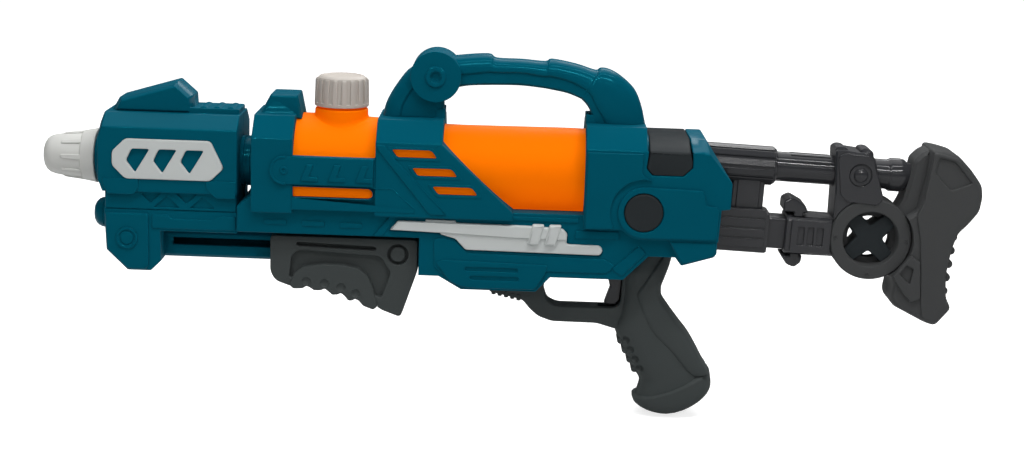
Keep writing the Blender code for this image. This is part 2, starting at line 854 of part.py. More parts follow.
def tank_profile(grow=0.0):
    """The tank's outside, or the bore around it when grown."""
    front, rear = TANK_X0 - grow, TANK_X1 + grow
    dome = TANK_FRONT_R
    return [
        (front - TANK_DOME, 0.0), (front, dome * 0.62 + grow), (front + 5.0, dome * 0.86 + grow), (front + 13.0, dome * 0.985 + grow),
        (COLLAR_X1 + 5.0, dome + grow), (MID_X0, TANK_MID_R + grow), (MID_X1, TANK_REAR_R + grow),
        (REAR_X0, TANK_REAR_R + grow), (rear - 7.0, TANK_REAR_R * 0.9 + grow),
        (rear, TANK_REAR_R * 0.55 + grow), (rear + TANK_DOME, 0.0),
    ]


def mechanism_outline():
    """The hollow of the lower hull, a wall inside its outline."""
    return [
        (LOWER_X0 + WALL, CAVITY_TOP), (LOWER_X0 + WALL, LOWER_BOTTOM + WALL),
        (LOWER_X0 + LOWER_RUN + 1.0, LOWER_BOTTOM + WALL), (KEEL_X0 + 1.0, KEEL_BOTTOM + WALL),
        (KEEL_X1 - 1.0, KEEL_BOTTOM + WALL), (BELLY_X0 - 1.0, BELLY_BOTTOM + WALL),
        (SEAT_X0 - 1.0, BELLY_BOTTOM + WALL), (SEAT_X1 - 2.0, SEAT_TOP + WALL), (SEAT_X1 - 2.0, CAVITY_TOP),
    ]


def rear_hollow_outline():
    slope = REAR_EDGE[3]
    return [
        (TANK_X1 - 8.0, CAVITY_TOP - 1.0), (TANK_X1 - 8.0, TAIL_TOP - 2 * WALL), (14.0, TAIL_TOP - 2 * WALL),
        (slope[0] - 5.0, slope[1] - 2.0), (TAIL_X - WALL, REAR_EDGE[4][1]), (TAIL_X - WALL, TAIL_Z + WALL),
        (SEAT_X2, SEAT_TOP + 2 * WALL), (SEAT_X1 - 2.0, SEAT_TOP + 2 * WALL), (SEAT_X1 - 2.0, CAVITY_TOP - 1.0),
    ]


def rear_hollow(side):
    outline = rear_hollow_outline()
    low = [(x, max(min(z, SHOULDER_Z - WALL), REAR_FRONT_Z + WALL)) for x, z in outline]
    return side_loft([
        (-side * CUT, outline), (side * (TOP_HALF - WALL), outline), (side * (BODY_HALF - WALL), low),
    ])


def saddle_outline():
    return [
        (SADDLE_X0 + 1.5, TAIL_TOP), (SADDLE_TOP_X1, TAIL_TOP), (SADDLE_X1, SADDLE_NECK_Z - SADDLE_BEVEL * 1.6),
        (SADDLE_X1, SADDLE_BOTTOM + SADDLE_BEVEL), (SADDLE_X1 - SADDLE_BEVEL, SADDLE_BOTTOM),
        (SADDLE_X0 + 3.5, SADDLE_BOTTOM), (SADDLE_X0, SADDLE_BOTTOM + 4.0), (SADDLE_X0 + 1.5, SADDLE_NECK_Z),
    ]


def tail_step():
    """Everything above the tail's low top, from the saddle back."""
    far = BODY_HALF + CUT
    low = SHOULDER_Z + CLEAR
    drop = (TAIL_TOP - low) / (BODY_HALF - TAIL_TOP_HALF) * CUT
    high = HOUSING_TOP + CUT
    section = [
        (-far, low - drop), (-TAIL_TOP_HALF, TAIL_TOP), (TAIL_TOP_HALF, TAIL_TOP), (far, low - drop), (far, high), (-far, high),
    ]
    return tool("tail_step", long_loft([(SADDLE_X0 - CLEAR, section), (REAR_EDGE[3][0] + CUT, section)]))


def slot_tools(side):
    tools = []
    for i in range(SLOT_COUNT):
        x = MID_X0 + SLOT_X + SLOT_STEP_X * i
        z = SLOT_TOP - SLOT_STEP_Z * i
        outline = [
            (x, z), (x + SLOT_LENGTH, z), (x + SLOT_LENGTH + SLOT_LEAN, z - SLOT_HEIGHT), (x + SLOT_LEAN, z - SLOT_HEIGHT),
        ]
        cutter = slab(outline, side * (TANK_REAR_R / 2), side * (BODY_HALF + CUT))
        tools.append(tool(f"slot_{label_of(side)}_{i}", cutter))
    return tools


def trim_outline():
    return TRIM_TOP + TRIM_TAIL + TRIM_LOW


def stock_pocket_tools(stock):
    """Pockets for the stock sleeve, a clearance larger than the sleeve."""
    start = SLEEVE_U0 - CLEAR
    end = SLEEVE_U1
    upper = rod("X", (0.0, UPPER_W), start, end, UPPER_SLEEVE_R + CLEAR, MEDIUM_STEPS)
    low, high = LOWER_W - LOWER_SLEEVE_RISE - CLEAR, LOWER_W + LOWER_SLEEVE_RISE + CLEAR
    section = bevelled_box(LOWER_SLEEVE_HALF + CLEAR, low, high, BOX_BEVEL)
    lower = long_loft([(start, section), (end, section)])
    return [tool("upper_pocket", upper, stock), tool("lower_pocket", lower, stock)]


def body_cutters(stock):
    """Everything that is cut from both body shells."""
    far = BODY_HALF + CUT
    rail = rail_section(CLEAR)
    barrel_hole = rod("X", (0.0, AXIS_Z), COLLAR_X0 - CUT, COLLAR_X0 + BARREL_IN + CLEAR, BARREL_R + CLEAR, ROUND_STEPS)
    feed = rod("Z", (FEED_X, 0.0), CAVITY_TOP - CUT, AXIS_Z, FEED_R + CLEAR + THIN)
    slot = box(TRIGGER_FRONT - CUT, TRIGGER_BACK + TRIGGER_STROKE_X, -TRIGGER_SLOT_HALF, TRIGGER_SLOT_HALF,
               BELLY_BOTTOM - CUT, BELLY_BOTTOM + WALL + CUT)
    saddle = slab(inset(saddle_outline()[1:-1] + [saddle_outline()[-1], saddle_outline()[0]], -CLEAR), -far, far)
    return [
        tool("tank_bore", turned(tank_profile(CLEAR), "X", (0.0, AXIS_Z), ROUND_STEPS)),
        tool("mechanism", slab(mechanism_outline(), -HULL_HALF + WALL, HULL_HALF - WALL)),
        tool("rail_pocket", long_loft([(LOWER_X0 - CUT, rail), (CYL_X0 - GUIDE_FLANGE, rail)])),
        tool("barrel_hole", barrel_hole),
        tool("feed_way", feed),
        tool("trigger_way", slot),
        tool("saddle_notch", saddle),
        tail_step(),
    ] + stock_pocket_tools(stock)


def hose_channel(name, x0, x1, top):
    """The way for the outlet hose, on the right of the mid-plane."""
    low = HOSE_HIGH_Z - HOSE_R - CLEAR
    return tool(name, box(x0, x1, HOSE_Y - HOSE_CHANNEL, HOSE_Y + HOSE_CHANNEL, low, top))


def pump_ribs(side):
    """Ribs inside the hull that hold the cylinder and the valve."""
    name = label_of(side)
    reach = side * (HULL_HALF - WALL + 0.5)
    near = past(side, 5)
    half = RIB_THICK / 2
    ribs = []
    for i, x in enumerate(RIB_XS):
        ribs.append(tool(f"rib_{i}_{name}", box(x - half, x + half, near, reach, KEEL_BOTTOM + 1.0, PUMP_Z)))
    valve_x = (VALVE_X0 + VALVE_X1) / 2
    top = VALVE_BOTTOM - CLEAR
    ribs.append(tool(f"valve_rib_{name}", box(valve_x - half, valve_x + half, near, reach, BELLY_BOTTOM + 1.0, top)))
    return ribs


def make_body(side, materials, cutters, cylinder_way, screw_holes):
    name = label_of(side)
    levels = [(past(side), hull_outline()), (side * HULL_HALF, hull_outline())]
    shell = link("body_shell_" + name, side_loft(levels), materials["teal"])
    join(shell, body_additions(side))
    ways = cutters + slot_tools(side) + [tool("rear_hollow_" + name, rear_hollow(side))]
    if side > 0:
        ways.append(hose_channel("hull_channel", FRONT_X1 - CUT, LOWER_X0 + CUT, CAVITY_TOP + CUT))
    carve(shell, ways)
    posts = screw_bosses("body_" + name, [KEEL_SCREW], side, HULL_HALF - THIN)
    posts += screw_bosses("tail_" + name, [TAIL_SCREW], side, HULL_HALF - THIN)
    pin_boss = rod("Y", (PIVOT_X, PIVOT_Z), side * (TRIGGER_SLOT_HALF), side * (HULL_HALF - THIN), BOSS_R)
    join(shell, pump_ribs(side) + posts + [tool("pin_boss_" + name, pin_boss)])
    recess_face = side * (BODY_HALF + DISC_PROUD - DISC_DEPTH - DISC_PROUD)
    recess = rod("Y", (DISC_X, DISC_Z), recess_face, side * (BODY_HALF + CUT), DISC_R + CLEAR, ROUND_STEPS)
    trim = slab(inset(trim_outline(), -CLEAR), side * (HULL_HALF - TRIM_DEPTH), side * (HULL_HALF + CUT))
    pin_hole = rod("Y", (PIVOT_X, PIVOT_Z), -side * CUT, side * (PIN_HALF + CLEAR), PIN_R + CLEAR)
    carve(shell, [
        cylinder_way, tool("disc_recess_" + name, recess), tool("trim_recess_" + name, trim),
        tool("pin_hole_" + name, pin_hole), parting_tool(side),
    ] + screw_holes[side])
    return shell


def make_saddle(materials):
    outline = saddle_outline()
    low = [(x, min(z, SHOULDER_Z)) for x, z in outline]
    low[7] = (outline[7][0], SHOULDER_Z - 2 * CLEAR)
    low[2] = (outline[2][0], SHOULDER_Z - SADDLE_BEVEL)
    levels = [(-BODY_HALF, low), (-TAIL_TOP_HALF, outline), (TAIL_TOP_HALF, outline), (BODY_HALF, low)]
    cover = link("saddle_cover", in_triangles(side_loft(levels)), materials["dark"])
    core = inset(outline, WALL)
    core_low = [(x, min(z, SHOULDER_Z - WALL)) for x, z in core]
    for i in (3, 4, 5, 6):
        core[i] = (core[i][0], core[i][1] - CUT * 2)
        core_low[i] = (core_low[i][0], core_low[i][1] - CUT * 2)
    inner = BODY_HALF - WALL
    flat = TAIL_TOP_HALF - 1.0
    hollow = side_loft([(-inner, core_low), (-flat, core), (flat, core), (inner, core_low)])
    return carve(cover, [tool("saddle_hollow", in_triangles(hollow))])


def make_discs(materials):
    for side in (-1, 1):
        inner = side * (BODY_HALF - DISC_DEPTH + CLEAR)
        outer = side * (BODY_HALF + DISC_PROUD + CLEAR)
        edge = side * (BODY_HALF + DISC_PROUD - 1.0)
        profile = [(inner, 0.0), (inner, DISC_R), (edge, DISC_R), (outer, DISC_R - 1.5), (outer, 0.0)]
        disc = turned(profile, "Y", (DISC_X, DISC_Z), ROUND_STEPS)
        link("side_disc_" + label_of(side), disc, materials["dark"])


def make_trims(materials):
    for side in (-1, 1):
        start = side * (HULL_HALF - TRIM_DEPTH + CLEAR)
        end = side * (HULL_HALF + TRIM_PROUD)
        link("side_trim_" + label_of(side), slab(trim_outline(), start, end), materials["pale"])


# Tank and cap


def make_tank(materials):
    centre = (0.0, AXIS_Z)
    tank = link("tank", turned(tank_profile(), "X", centre, ROUND_STEPS), materials["orange"])
    neck_profile = [
        (AXIS_Z, 0.0), (AXIS_Z, NECK_R), (NECK_TOP, NECK_R), (NECK_TOP, THREAD_R),
        (THREAD_TOP, THREAD_R), (THREAD_TOP, 0.0),
    ]
    neck = turned(neck_profile, "Z", (NECK_X, 0.0), MEDIUM_STEPS)
    outlet_low = AXIS_Z - TANK_REAR_R - FEED_REACH
    outlet = rod("Z", (FEED_X, 0.0), outlet_low, AXIS_Z - TANK_REAR_R + 2.0, FEED_R)
    join(tank, [tool("neck", neck), tool("tank_outlet", outlet)])
    mouth = rod("Z", (NECK_X, 0.0), AXIS_Z, THREAD_TOP + CUT, MOUTH_R, MEDIUM_STEPS)
    drain = rod("Z", (FEED_X, 0.0), outlet_low - CUT, AXIS_Z, FEED_BORE)
    inside = turned(tank_profile(-TANK_WALL), "X", centre, ROUND_STEPS)
    return carve(tank, [tool("tank_inside", inside), tool("mouth", mouth), tool("drain", drain)])


def make_cap(materials):
    deck = CAP_TOP - CAP_DECK
    bore = THREAD_R + CLEAR
    profile = [
        (CAP_BOTTOM, bore), (CAP_BOTTOM, CAP_R), (CAP_TOP - 1.5, CAP_R - CAP_TAPER),
        (CAP_TOP, CAP_R - CAP_TAPER - 2.0), (CAP_TOP, 0.0), (deck, 0.0), (deck, bore),
    ]
    cap = turned(profile, "Z", (NECK_X, 0.0), CAP_FLUTES * 2, closed=True, flute=CAP_FLUTE_DEPTH, flute_above=bore + CAP_TAPER)
    link("tank_cap", cap, materials["pale"])
    top = deck - CLEAR
    gasket = pipe("Z", (NECK_X, 0.0), top - GASKET_THICK, top, THREAD_R - CLEAR, MOUTH_R - 1.0)
    link("cap_gasket", gasket, materials["rubber"])


# Front group


def front_outline(top):
    x0, x1 = FRONT_X0, FRONT_X1
    return [
        (x0 + FRONT_NOSE, FRONT_SIDE_BOTTOM), (x1, FRONT_SIDE_BOTTOM), (x1, top),
        (x0 + FRONT_NOSE, top), (x0, top - 8.0), (x0, FRONT_SIDE_BOTTOM + 8.0),
    ]


def fin_outline():
    x0 = FRONT_X0
    return [
        (x0 + FIN_FRONT, FIN_BASE), (x0 + FIN_FRONT + FIN_LEAN, FIN_LOW), (x0 + FIN_PEAK, FIN_HIGH),
        (x0 + FIN_BACK - 1.0, FIN_BACK_Z), (x0 + FIN_BACK, FIN_BASE),
    ]


def block_outline():
    x0 = FRONT_X0 + BLOCK_SET
    x1 = x0 + BLOCK_LENGTH
    return [
        (x0, BEAM_TOP), (x0 + 1.5, BLOCK_BOTTOM + BLOCK_CHIN), (x0 + BLOCK_NOSE, BLOCK_BOTTOM),
        (x1 - BLOCK_HEEL, BLOCK_BOTTOM), (x1, BLOCK_BOTTOM + BLOCK_HEEL), (x1, BEAM_BOTTOM),
        (FRONT_X1, BEAM_BOTTOM), (FRONT_X1, BEAM_TOP),
    ]


def plate_outline():
    x0 = FRONT_X0 + PLATE_SET
    x1 = x0 + PLATE_LENGTH
    low, high = PLATE_BOTTOM, PLATE_BOTTOM + PLATE_HEIGHT
    return [
        (x0 + PLATE_SLANT, high), (x0, high - PLATE_SLANT), (x0, low + PLATE_SLANT), (x0 + PLATE_SLANT, low),
        (x1 - PLATE_SLANT, low), (x1, low + PLATE_SLANT), (x1 - PLATE_SLANT, high),
    ]


def front_additions(side):
    name = label_of(side)
    truss = box(
        FRONT_X0 + BLOCK_SET + 0.5, FRONT_X1 - 0.5, past(side, 1), side * TRUSS_HALF,
        BEAM_TOP - 1.0, FRONT_SIDE_BOTTOM + 2.0,
    )
    fin = side_loft([
        (past(side, 3), fin_outline()), (side * FIN_TOP_HALF, fin_outline()), (side * FIN_HALF, inset(fin_outline(), FIN_EDGE)),
    ])
    step = box(
        FRONT_X0 + FIN_BACK - 4.0, FRONT_X1 - 1.0, past(side, 4), side * (FIN_HALF - 1.0), FIN_BASE - 1.0, FIN_STEP_TOP,
    )
    return [
        tool("truss_" + name, truss),
        tool("block_" + name, slab(block_outline(), past(side, 2), side * BEAM_HALF)),
        tool("fin_" + name, fin),
        tool("fin_step_" + name, step),
    ]


def front_hollow(side):
    x0, x1 = FRONT_X0 + WALL + FRONT_NOSE, FRONT_X1 - WALL
    low = FRONT_SIDE_BOTTOM - 4.0
    high, shoulder = FRONT_TOP - WALL, FRONT_SHOULDER_Z - WALL

    def frame(top, bottom):
        return [(x0, bottom), (x1, bottom), (x1, top), (x0, top)]

    return side_loft([
        (-side * CUT, frame(high, low)),
        (side * (FRONT_TOP_HALF - 1.0), frame(high, low)),
        (side * (FRONT_HALF - WALL - PLATE_DEPTH), frame(shoulder, FRONT_SIDE_BOTTOM + WALL)),
    ])


def front_cutters():
    """Everything that is cut from both front shells."""
    block_x1 = FRONT_X0 + BLOCK_SET + BLOCK_LENGTH
    rail = rail_section(CLEAR)
    bore = rod("X", (0.0, AXIS_Z), FRONT_X0 - CUT, FRONT_X1 + CUT, BARREL_R + CLEAR, ROUND_STEPS)
    stem_end = FRONT_X0 + BLOCK_SET + PLUG_STEM + CLEAR
    plug = rod("X", (0.0, PLUG_Z), FRONT_X0 - CUT, stem_end, PLUG_STEM_R + CLEAR, MEDIUM_STEPS)
    return [
        tool("front_bore", bore),
        tool("plug_hole", plug),
        tool("rail_socket", long_loft([(block_x1 - RAIL_SOCKET - CLEAR, rail), (block_x1 + CUT, rail)])),
    ]


def make_front(side, materials, cutters, screw_holes):
    name = label_of(side)
    levels = [
        (past(side), front_outline(FRONT_TOP)),
        (side * FRONT_TOP_HALF, front_outline(FRONT_TOP)),
        (side * FRONT_HALF, front_outline(FRONT_SHOULDER_Z)),
    ]
    shell = link("front_shell_" + name, side_loft(levels), materials["teal"])
    join(shell, front_additions(side))
    recess = slab(inset(plate_outline(), -CLEAR), side * (FRONT_HALF - PLATE_DEPTH), side * (FRONT_HALF + CUT))
    ways = cutters + [tool("front_hollow_" + name, front_hollow(side)), tool("plate_recess_" + name, recess)]
    if side > 0:
        ways.append(hose_channel("front_channel", INLET_X - HOSE_CHANNEL, FRONT_X1 + CUT, FRONT_SIDE_BOTTOM))
    carve(shell, ways + [parting_tool(side)] + screw_holes[side])
    return shell


def window_outline(index):
    x = FRONT_X0 + PLATE_SET + WINDOW_SET + WINDOW_STEP * index
    return [
        (x, WINDOW_TOP), (x + WINDOW_WIDTH, WINDOW_TOP), (x + WINDOW_WIDTH - WINDOW_LEAN, WINDOW_BOTTOM),
        (x - WINDOW_LEAN * 0.4, (WINDOW_TOP + WINDOW_BOTTOM) / 2),
    ]


def make_plates(materials):
    far = FRONT_HALF + CUT * 2
    windows = [
        tool(f"window_{i}", slab(window_outline(i), -far, far)) for i in range(WINDOW_COUNT)
    ]
    for side in (-1, 1):
        start = side * (FRONT_HALF - PLATE_DEPTH + CLEAR)
        end = side * (FRONT_HALF + PLATE_PROUD)
        plate = link("side_plate_" + label_of(side), slab(plate_outline(), start, end), materials["pale"])
        carve(plate, windows)


def make_barrel(materials):
    x0 = FRONT_X0 - BARREL_OUT
    x1 = COLLAR_X0 + BARREL_IN
    tip = x0 - SPIGOT_LENGTH
    profile = [
        (x1, 0.0), (x1, BARREL_R), (x0, BARREL_R), (x0, SPIGOT_R), (tip, SPIGOT_R),
        (tip, BARREL_BORE), (x1 - BARREL_END, BARREL_BORE), (x1 - BARREL_END, 0.0),
    ]
    barrel = link("barrel", turned(profile, "X", (0.0, AXIS_Z), ROUND_STEPS), materials["teal"])
    inlet = rod("Z", (INLET_X, HOSE_Y), AXIS_Z - BARREL_R - CUT, AXIS_Z, HOSE_R + CLEAR)
    return carve(barrel, [tool("inlet", inlet)])


def make_nozzle(materials):
    base = FRONT_X0 - BARREL_OUT - CLEAR
    tip = base - NOZZLE_LENGTH
    shoulder = base - NOZZLE_BASE_LENGTH
    socket = base - SPIGOT_LENGTH - CLEAR * 2
    profile = [
        (base, SPIGOT_R + CLEAR), (base, NOZZLE_BASE_R), (shoulder, NOZZLE_BASE_R - 0.4),
        (shoulder - 0.8, NOZZLE_BASE_R - 1.6), (tip + NOZZLE_LIP, NOZZLE_MID_R), (tip + 2.5, NOZZLE_TIP_R + 3.0),
        (tip, NOZZLE_TIP_R), (tip, NOZZLE_HOLE_R), (tip + NOZZLE_LIP, NOZZLE_HOLE_R),
        (tip + NOZZLE_LIP + 2.0, BARREL_BORE), (socket, BARREL_BORE), (socket, SPIGOT_R + CLEAR),
    ]
    nozzle = turned(profile, "X", (0.0, AXIS_Z), ROUND_STEPS, closed=True)
    return link("nozzle", nozzle, materials["pale"])


def make_plug(materials):
    face = FRONT_X0 + BLOCK_SET - CLEAR
    tip = face - PLUG_OUT
    end = face + PLUG_STEM
    profile = [
        (tip, 0.0), (tip, PLUG_R * 0.5), (tip + 2.5, PLUG_R * 0.86), (tip + 6.0, PLUG_R), (face, PLUG_R),
        (face, PLUG_STEM_R), (end, PLUG_STEM_R), (end, 0.0),
    ]
    return link("front_plug", turned(profile, "X", (0.0, PLUG_Z), MEDIUM_STEPS), materials["teal"])


# Pump


def rail_section(grow=0.0):
    return bevelled_box(RAIL_HALF + grow, RAIL_BOTTOM - grow, RAIL_TOP + grow, RAIL_BEVEL)


def make_rail(materials):
    x0 = FRONT_X0 + BLOCK_SET + BLOCK_LENGTH - RAIL_SOCKET
    x1 = CYL_X0 - GUIDE_FLANGE - 2 * CLEAR
    rail = link("pump_rail", long_loft([(x0, rail_section()), (x1, rail_section())]), materials["teal"])
    half = RAIL_HALF - RAIL_WALL
    inside = box(x0 + WALL, x1 + CUT, -half, half, RAIL_BOTTOM + RAIL_WALL, RAIL_TOP - RAIL_WALL)
    far = RAIL_HALF + CUT
    slot_x0 = x0 + RAIL_SOCKET + RAIL_SLOT_END
    slot = box(slot_x0, LOWER_X0 - RAIL_SLOT_END, -far, far, RAIL_SLOT_LOW, RAIL_SLOT_HIGH)
    return carve(rail, [tool("rail_inside", inside), tool("rail_slot", slot)])


def pump_outline():
    return [(PUMP_X0, PUMP_TOP), (PUMP_X1, PUMP_TOP), (PUMP_X1, PUMP_HEEL_Z)] + PUMP_LOW + [(PUMP_X0, PUMP_TOE_Z)]


def link_span():
    x0 = PUMP_X0 + LINK_SET
    return x0, x0 + LINK_LENGTH


def make_pump_grip(materials):
    x0, x1 = link_span()
    middle = (x0 + x1) / 2
    lug = LUG_LENGTH / 2 + CLEAR
    reach = RAIL_HALF + LUG_REACH + CLEAR
    tunnel = rail_section(CLEAR)
    cutters = [
        tool("pump_tunnel", long_loft([(PUMP_X0 - CUT, tunnel), (PUMP_X1 + CUT, tunnel)])),
        tool("lug_pocket", box(middle - lug, middle + lug, -reach, reach, RAIL_SLOT_LOW, RAIL_SLOT_HIGH)),
    ]
    holes = screw_tools("pump", PUMP_SCREWS)
    for side in (-1, 1):
        name = label_of(side)
        levels = half_levels(side, pump_outline(), PUMP_HALF, PUMP_EDGE)
        grip = link("pump_grip_" + name, side_loft(levels), materials["dark"])
        core = [(x, min(z, PUMP_CAVITY_TOP)) for x, z in inset(pump_outline(), WALL)]
        core = [point for i, point in enumerate(core) if i not in (0, 1)]
        hollow = slab(core, -side * CUT, side * (PUMP_HALF - WALL - 1.0))
        carve(grip, cutters + [tool("pump_hollow_" + name, hollow)])
        join(grip, screw_bosses("pump_" + name, PUMP_SCREWS, side, PUMP_HALF - WALL))
        carve(grip, [parting_tool(side)] + holes[side])


def make_link(materials):
    x0, x1 = link_span()
    half = RAIL_HALF - RAIL_WALL - CLEAR
    low, high = RAIL_BOTTOM + RAIL_WALL + CLEAR, RAIL_TOP - RAIL_WALL - CLEAR
    middle = (x0 + x1) / 2
    lug = LUG_LENGTH / 2
    reach = RAIL_HALF + LUG_REACH
    piece = link("pump_link", box(x0, x1, -half, half, low, high), materials["dark"])
    lugs = box(middle - lug, middle + lug, -reach, reach, RAIL_SLOT_LOW + CLEAR, RAIL_SLOT_HIGH - CLEAR)
    seat = rod("X", (0.0, PUMP_Z), x1 - ROD_SEAT - CLEAR, x1 + CUT, ROD_R + CLEAR)
    join(piece, [tool("lugs", lugs)])
    return carve(piece, [tool("rod_seat", seat)])


def piston_span():
    x1 = CYL_X1 - HEAD_SPIGOT - PISTON_STAND
    return x1 - PISTON_LENGTH, x1


def make_piston(materials):
    centre = (0.0, PUMP_Z)
    x0, x1 = piston_span()
    groove = (x0 + x1) / 2
    half = RING_WIDTH / 2
    seat = x0 + PISTON_LENGTH / 3
    profile = [
        (x1, 0.0), (x1, PISTON_R), (groove + half + CLEAR, PISTON_R), (groove + half + CLEAR, RING_GROOVE_R),
        (groove - half - CLEAR, RING_GROOVE_R), (groove - half - CLEAR, PISTON_R), (x0, PISTON_R),
        (x0, ROD_R + CLEAR), (seat, ROD_R + CLEAR), (seat, 0.0),
    ]
    link("piston", turned(profile, "X", centre, MEDIUM_STEPS), materials["pale"])
    ring = pipe("X", centre, groove - half, groove + half, CYL_BORE - 0.15, RING_GROOVE_R + CLEAR)
    link("piston_ring", ring, materials["rubber"])
    start = link_span()[1] - ROD_SEAT
    link("pump_rod", rod("X", centre, start, seat - CLEAR, ROD_R), materials["steel"])


def make_cylinder(materials):
    centre = (0.0, PUMP_Z)
    link("pump_cylinder", pipe("X", centre, CYL_X0, CYL_X1, CYL_R, CYL_BORE), materials["pale"])
    x0 = CYL_X0 - CLEAR
    spigot = CYL_BORE - CLEAR
    guide = [
        (x0 - GUIDE_FLANGE, ROD_R + CLEAR), (x0 - GUIDE_FLANGE, CYL_R), (x0, CYL_R), (x0, spigot),
        (x0 + GUIDE_SPIGOT, spigot), (x0 + GUIDE_SPIGOT, ROD_R + CLEAR),
    ]
    link("rod_guide", turned(guide, "X", centre, MEDIUM_STEPS, closed=True), materials["dark"])
    x1 = CYL_X1 + CLEAR
    floor = BELLY_BOTTOM + WALL + CLEAR
    top = HOSE_LOW_Z - HOSE_R - 2 * CLEAR
    head = link("cylinder_head", box(x1, x1 + HEAD_LENGTH, -HEAD_HALF, HEAD_HALF, floor, top), materials["pale"])
    plug = rod("X", centre, x1 - HEAD_SPIGOT, x1 + 1.0, spigot, MEDIUM_STEPS)
    rear_port = rod("X", centre, x1 + HEAD_LENGTH - 1.0, x1 + HEAD_LENGTH + PORT_REACH, PORT_R)
    top_port = rod("Z", (FEED_X, 0.0), PUMP_Z, PUMP_Z + CYL_R + PORT_REACH, FEED_R)
    join(head, [tool("head_plug", plug), tool("rear_port", rear_port), tool("top_port", top_port)])
    tube_low = PUMP_Z + CYL_R + PORT_REACH + CLEAR
    tube_high = AXIS_Z - TANK_REAR_R - FEED_REACH - CLEAR
    link("feed_tube", pipe("Z", (FEED_X, 0.0), tube_low, tube_high, FEED_R, FEED_BORE, SMALL_STEPS), materials["hose"])


# Valve and water line


def make_valve(materials):
    plunger_z = PIVOT_Z + ARM_HEIGHT
    valve = link("valve_body", box(VALVE_X0, VALVE_X1, -VALVE_HALF, VALVE_HALF, VALVE_BOTTOM, VALVE_TOP), materials["pale"])
    head_end = CYL_X1 + CLEAR + HEAD_LENGTH + PORT_REACH
    inlet = rod("X", (0.0, PUMP_Z), head_end + CLEAR, VALVE_X0 + 1.0, PORT_R)
    nipple = rod("X", (HOSE_Y, HOSE_LOW_Z), VALVE_X0 - NIPPLE_REACH, VALVE_X0 + 1.0, NIPPLE_R)
    join(valve, [tool("valve_inlet", inlet), tool("valve_nipple", nipple)])
    bore = rod("X", (0.0, plunger_z), VALVE_X1 - PLUNGER_LENGTH * 0.75, VALVE_X1 + CUT, VALVE_BORE_R)
    carve(valve, [tool("valve_bore", bore)])
    coupler = pipe("X", (0.0, PUMP_Z), head_end - PORT_REACH + CLEAR, VALVE_X0 - CLEAR, COUPLER_R, PORT_R + CLEAR, SMALL_STEPS)
    link("line_coupler", coupler, materials["rubber"])
    tip = PIVOT_X - ARM_HALF_X - CLEAR
    start = tip - PLUNGER_LENGTH
    profile = [
        (start, 0.0), (start, PLUNGER_HEAD_R), (start + 4.0, PLUNGER_HEAD_R), (start + 4.0, PLUNGER_R),
        (tip - 1.0, PLUNGER_R), (tip, PLUNGER_R * 0.5), (tip, 0.0),
    ]
    link("valve_plunger", turned(profile, "X", (0.0, plunger_z), SMALL_STEPS), materials["steel"])


def make_outlet_hose(materials):
    start = (VALVE_X0 - CLEAR, HOSE_LOW_Z)
    rise = (HOSE_RISE_X, HOSE_LOW_Z)
    level = (HOSE_LEVEL_X, HOSE_HIGH_Z)
    corner = (INLET_X, HOSE_HIGH_Z)
    end = (INLET_X, INLET_TOP)
    route = [start] + bend(rise, start, level, HOSE_BEND) + bend(level, rise, corner, HOSE_BEND)
    route += bend(corner, level, end, HOSE_BEND) + [end]
    points = [(x, HOSE_Y, z) for x, z in route]
    link("outlet_hose", swept_tube(points, HOSE_R, HOSE_BORE, SMALL_STEPS - 2), materials["hose"])


# Trigger and pistol grip


def trigger_outline():
    top = PIVOT_Z + ARM_HEIGHT
    return [
        (PIVOT_X - ARM_HALF_X, top + 2.0), (PIVOT_X + ARM_HALF_X, top + 2.0), (PIVOT_X + HUB_R - 1.0, PIVOT_Z + 3.0),
        (PIVOT_X + HUB_R, PIVOT_Z - 3.0), (TRIGGER_BACK, BELLY_BOTTOM - 8.0), (TRIGGER_BACK - 1.0, TRIGGER_TIP_Z + 4.0),
        (TRIGGER_BACK - 4.0, TRIGGER_TIP_Z), (TRIGGER_TOE, TRIGGER_TIP_Z), (TRIGGER_FRONT + 2.5, (TRIGGER_TIP_Z + BELLY_BOTTOM) / 2),
        (TRIGGER_FRONT, BELLY_BOTTOM - 3.0), (PIVOT_X - HUB_R, PIVOT_Z - 3.0), (PIVOT_X - ARM_HALF_X, PIVOT_Z + HUB_R),
    ]


def make_trigger(materials):
    edge = 1.2
    trigger = link("trigger", side_loft([
        (-TRIGGER_HALF, inset(trigger_outline(), edge)), (-TRIGGER_HALF + edge, trigger_outline()),
        (TRIGGER_HALF - edge, trigger_outline()), (TRIGGER_HALF, inset(trigger_outline(), edge)),
    ]), materials["gloss"])
    far = TRIGGER_HALF + CUT
    carve(trigger, [tool("pin_bore", rod("Y", (PIVOT_X, PIVOT_Z), -far, far, PIN_R + CLEAR))])
    link("trigger_pin", rod("Y", (PIVOT_X, PIVOT_Z), -PIN_HALF, PIN_HALF, PIN_R), materials["steel"])


def make_trigger_spring(materials):
    start = TRIGGER_BACK + SPRING_WIRE + CLEAR
    end = TRIGGER_BACK + TRIGGER_STROKE_X - SPRING_WIRE - CLEAR
    curve = bpy.data.curves.new("trigger_spring", "CURVE")
    curve.dimensions = "3D"
    curve.bevel_depth = SPRING_WIRE * MM
    curve.bevel_resolution = 1
    curve.use_fill_caps = True
    spline = curve.splines.new("POLY")
    count = SPRING_TURNS * SPRING_POINTS
    spline.points.add(count)
    for i in range(count + 1):
        angle = math.tau * i / SPRING_POINTS
        point = Vector((start + (end - start) * i / count, SPRING_R * math.cos(angle), SPRING_Z + SPRING_R * math.sin(angle)))
        spline.points[i].co = (*(point * MM), 1.0)
    spring = bpy.data.objects.new("trigger_spring", curve)
    curve.materials.append(materials["steel"])
    bpy.context.scene.collection.objects.link(spring)


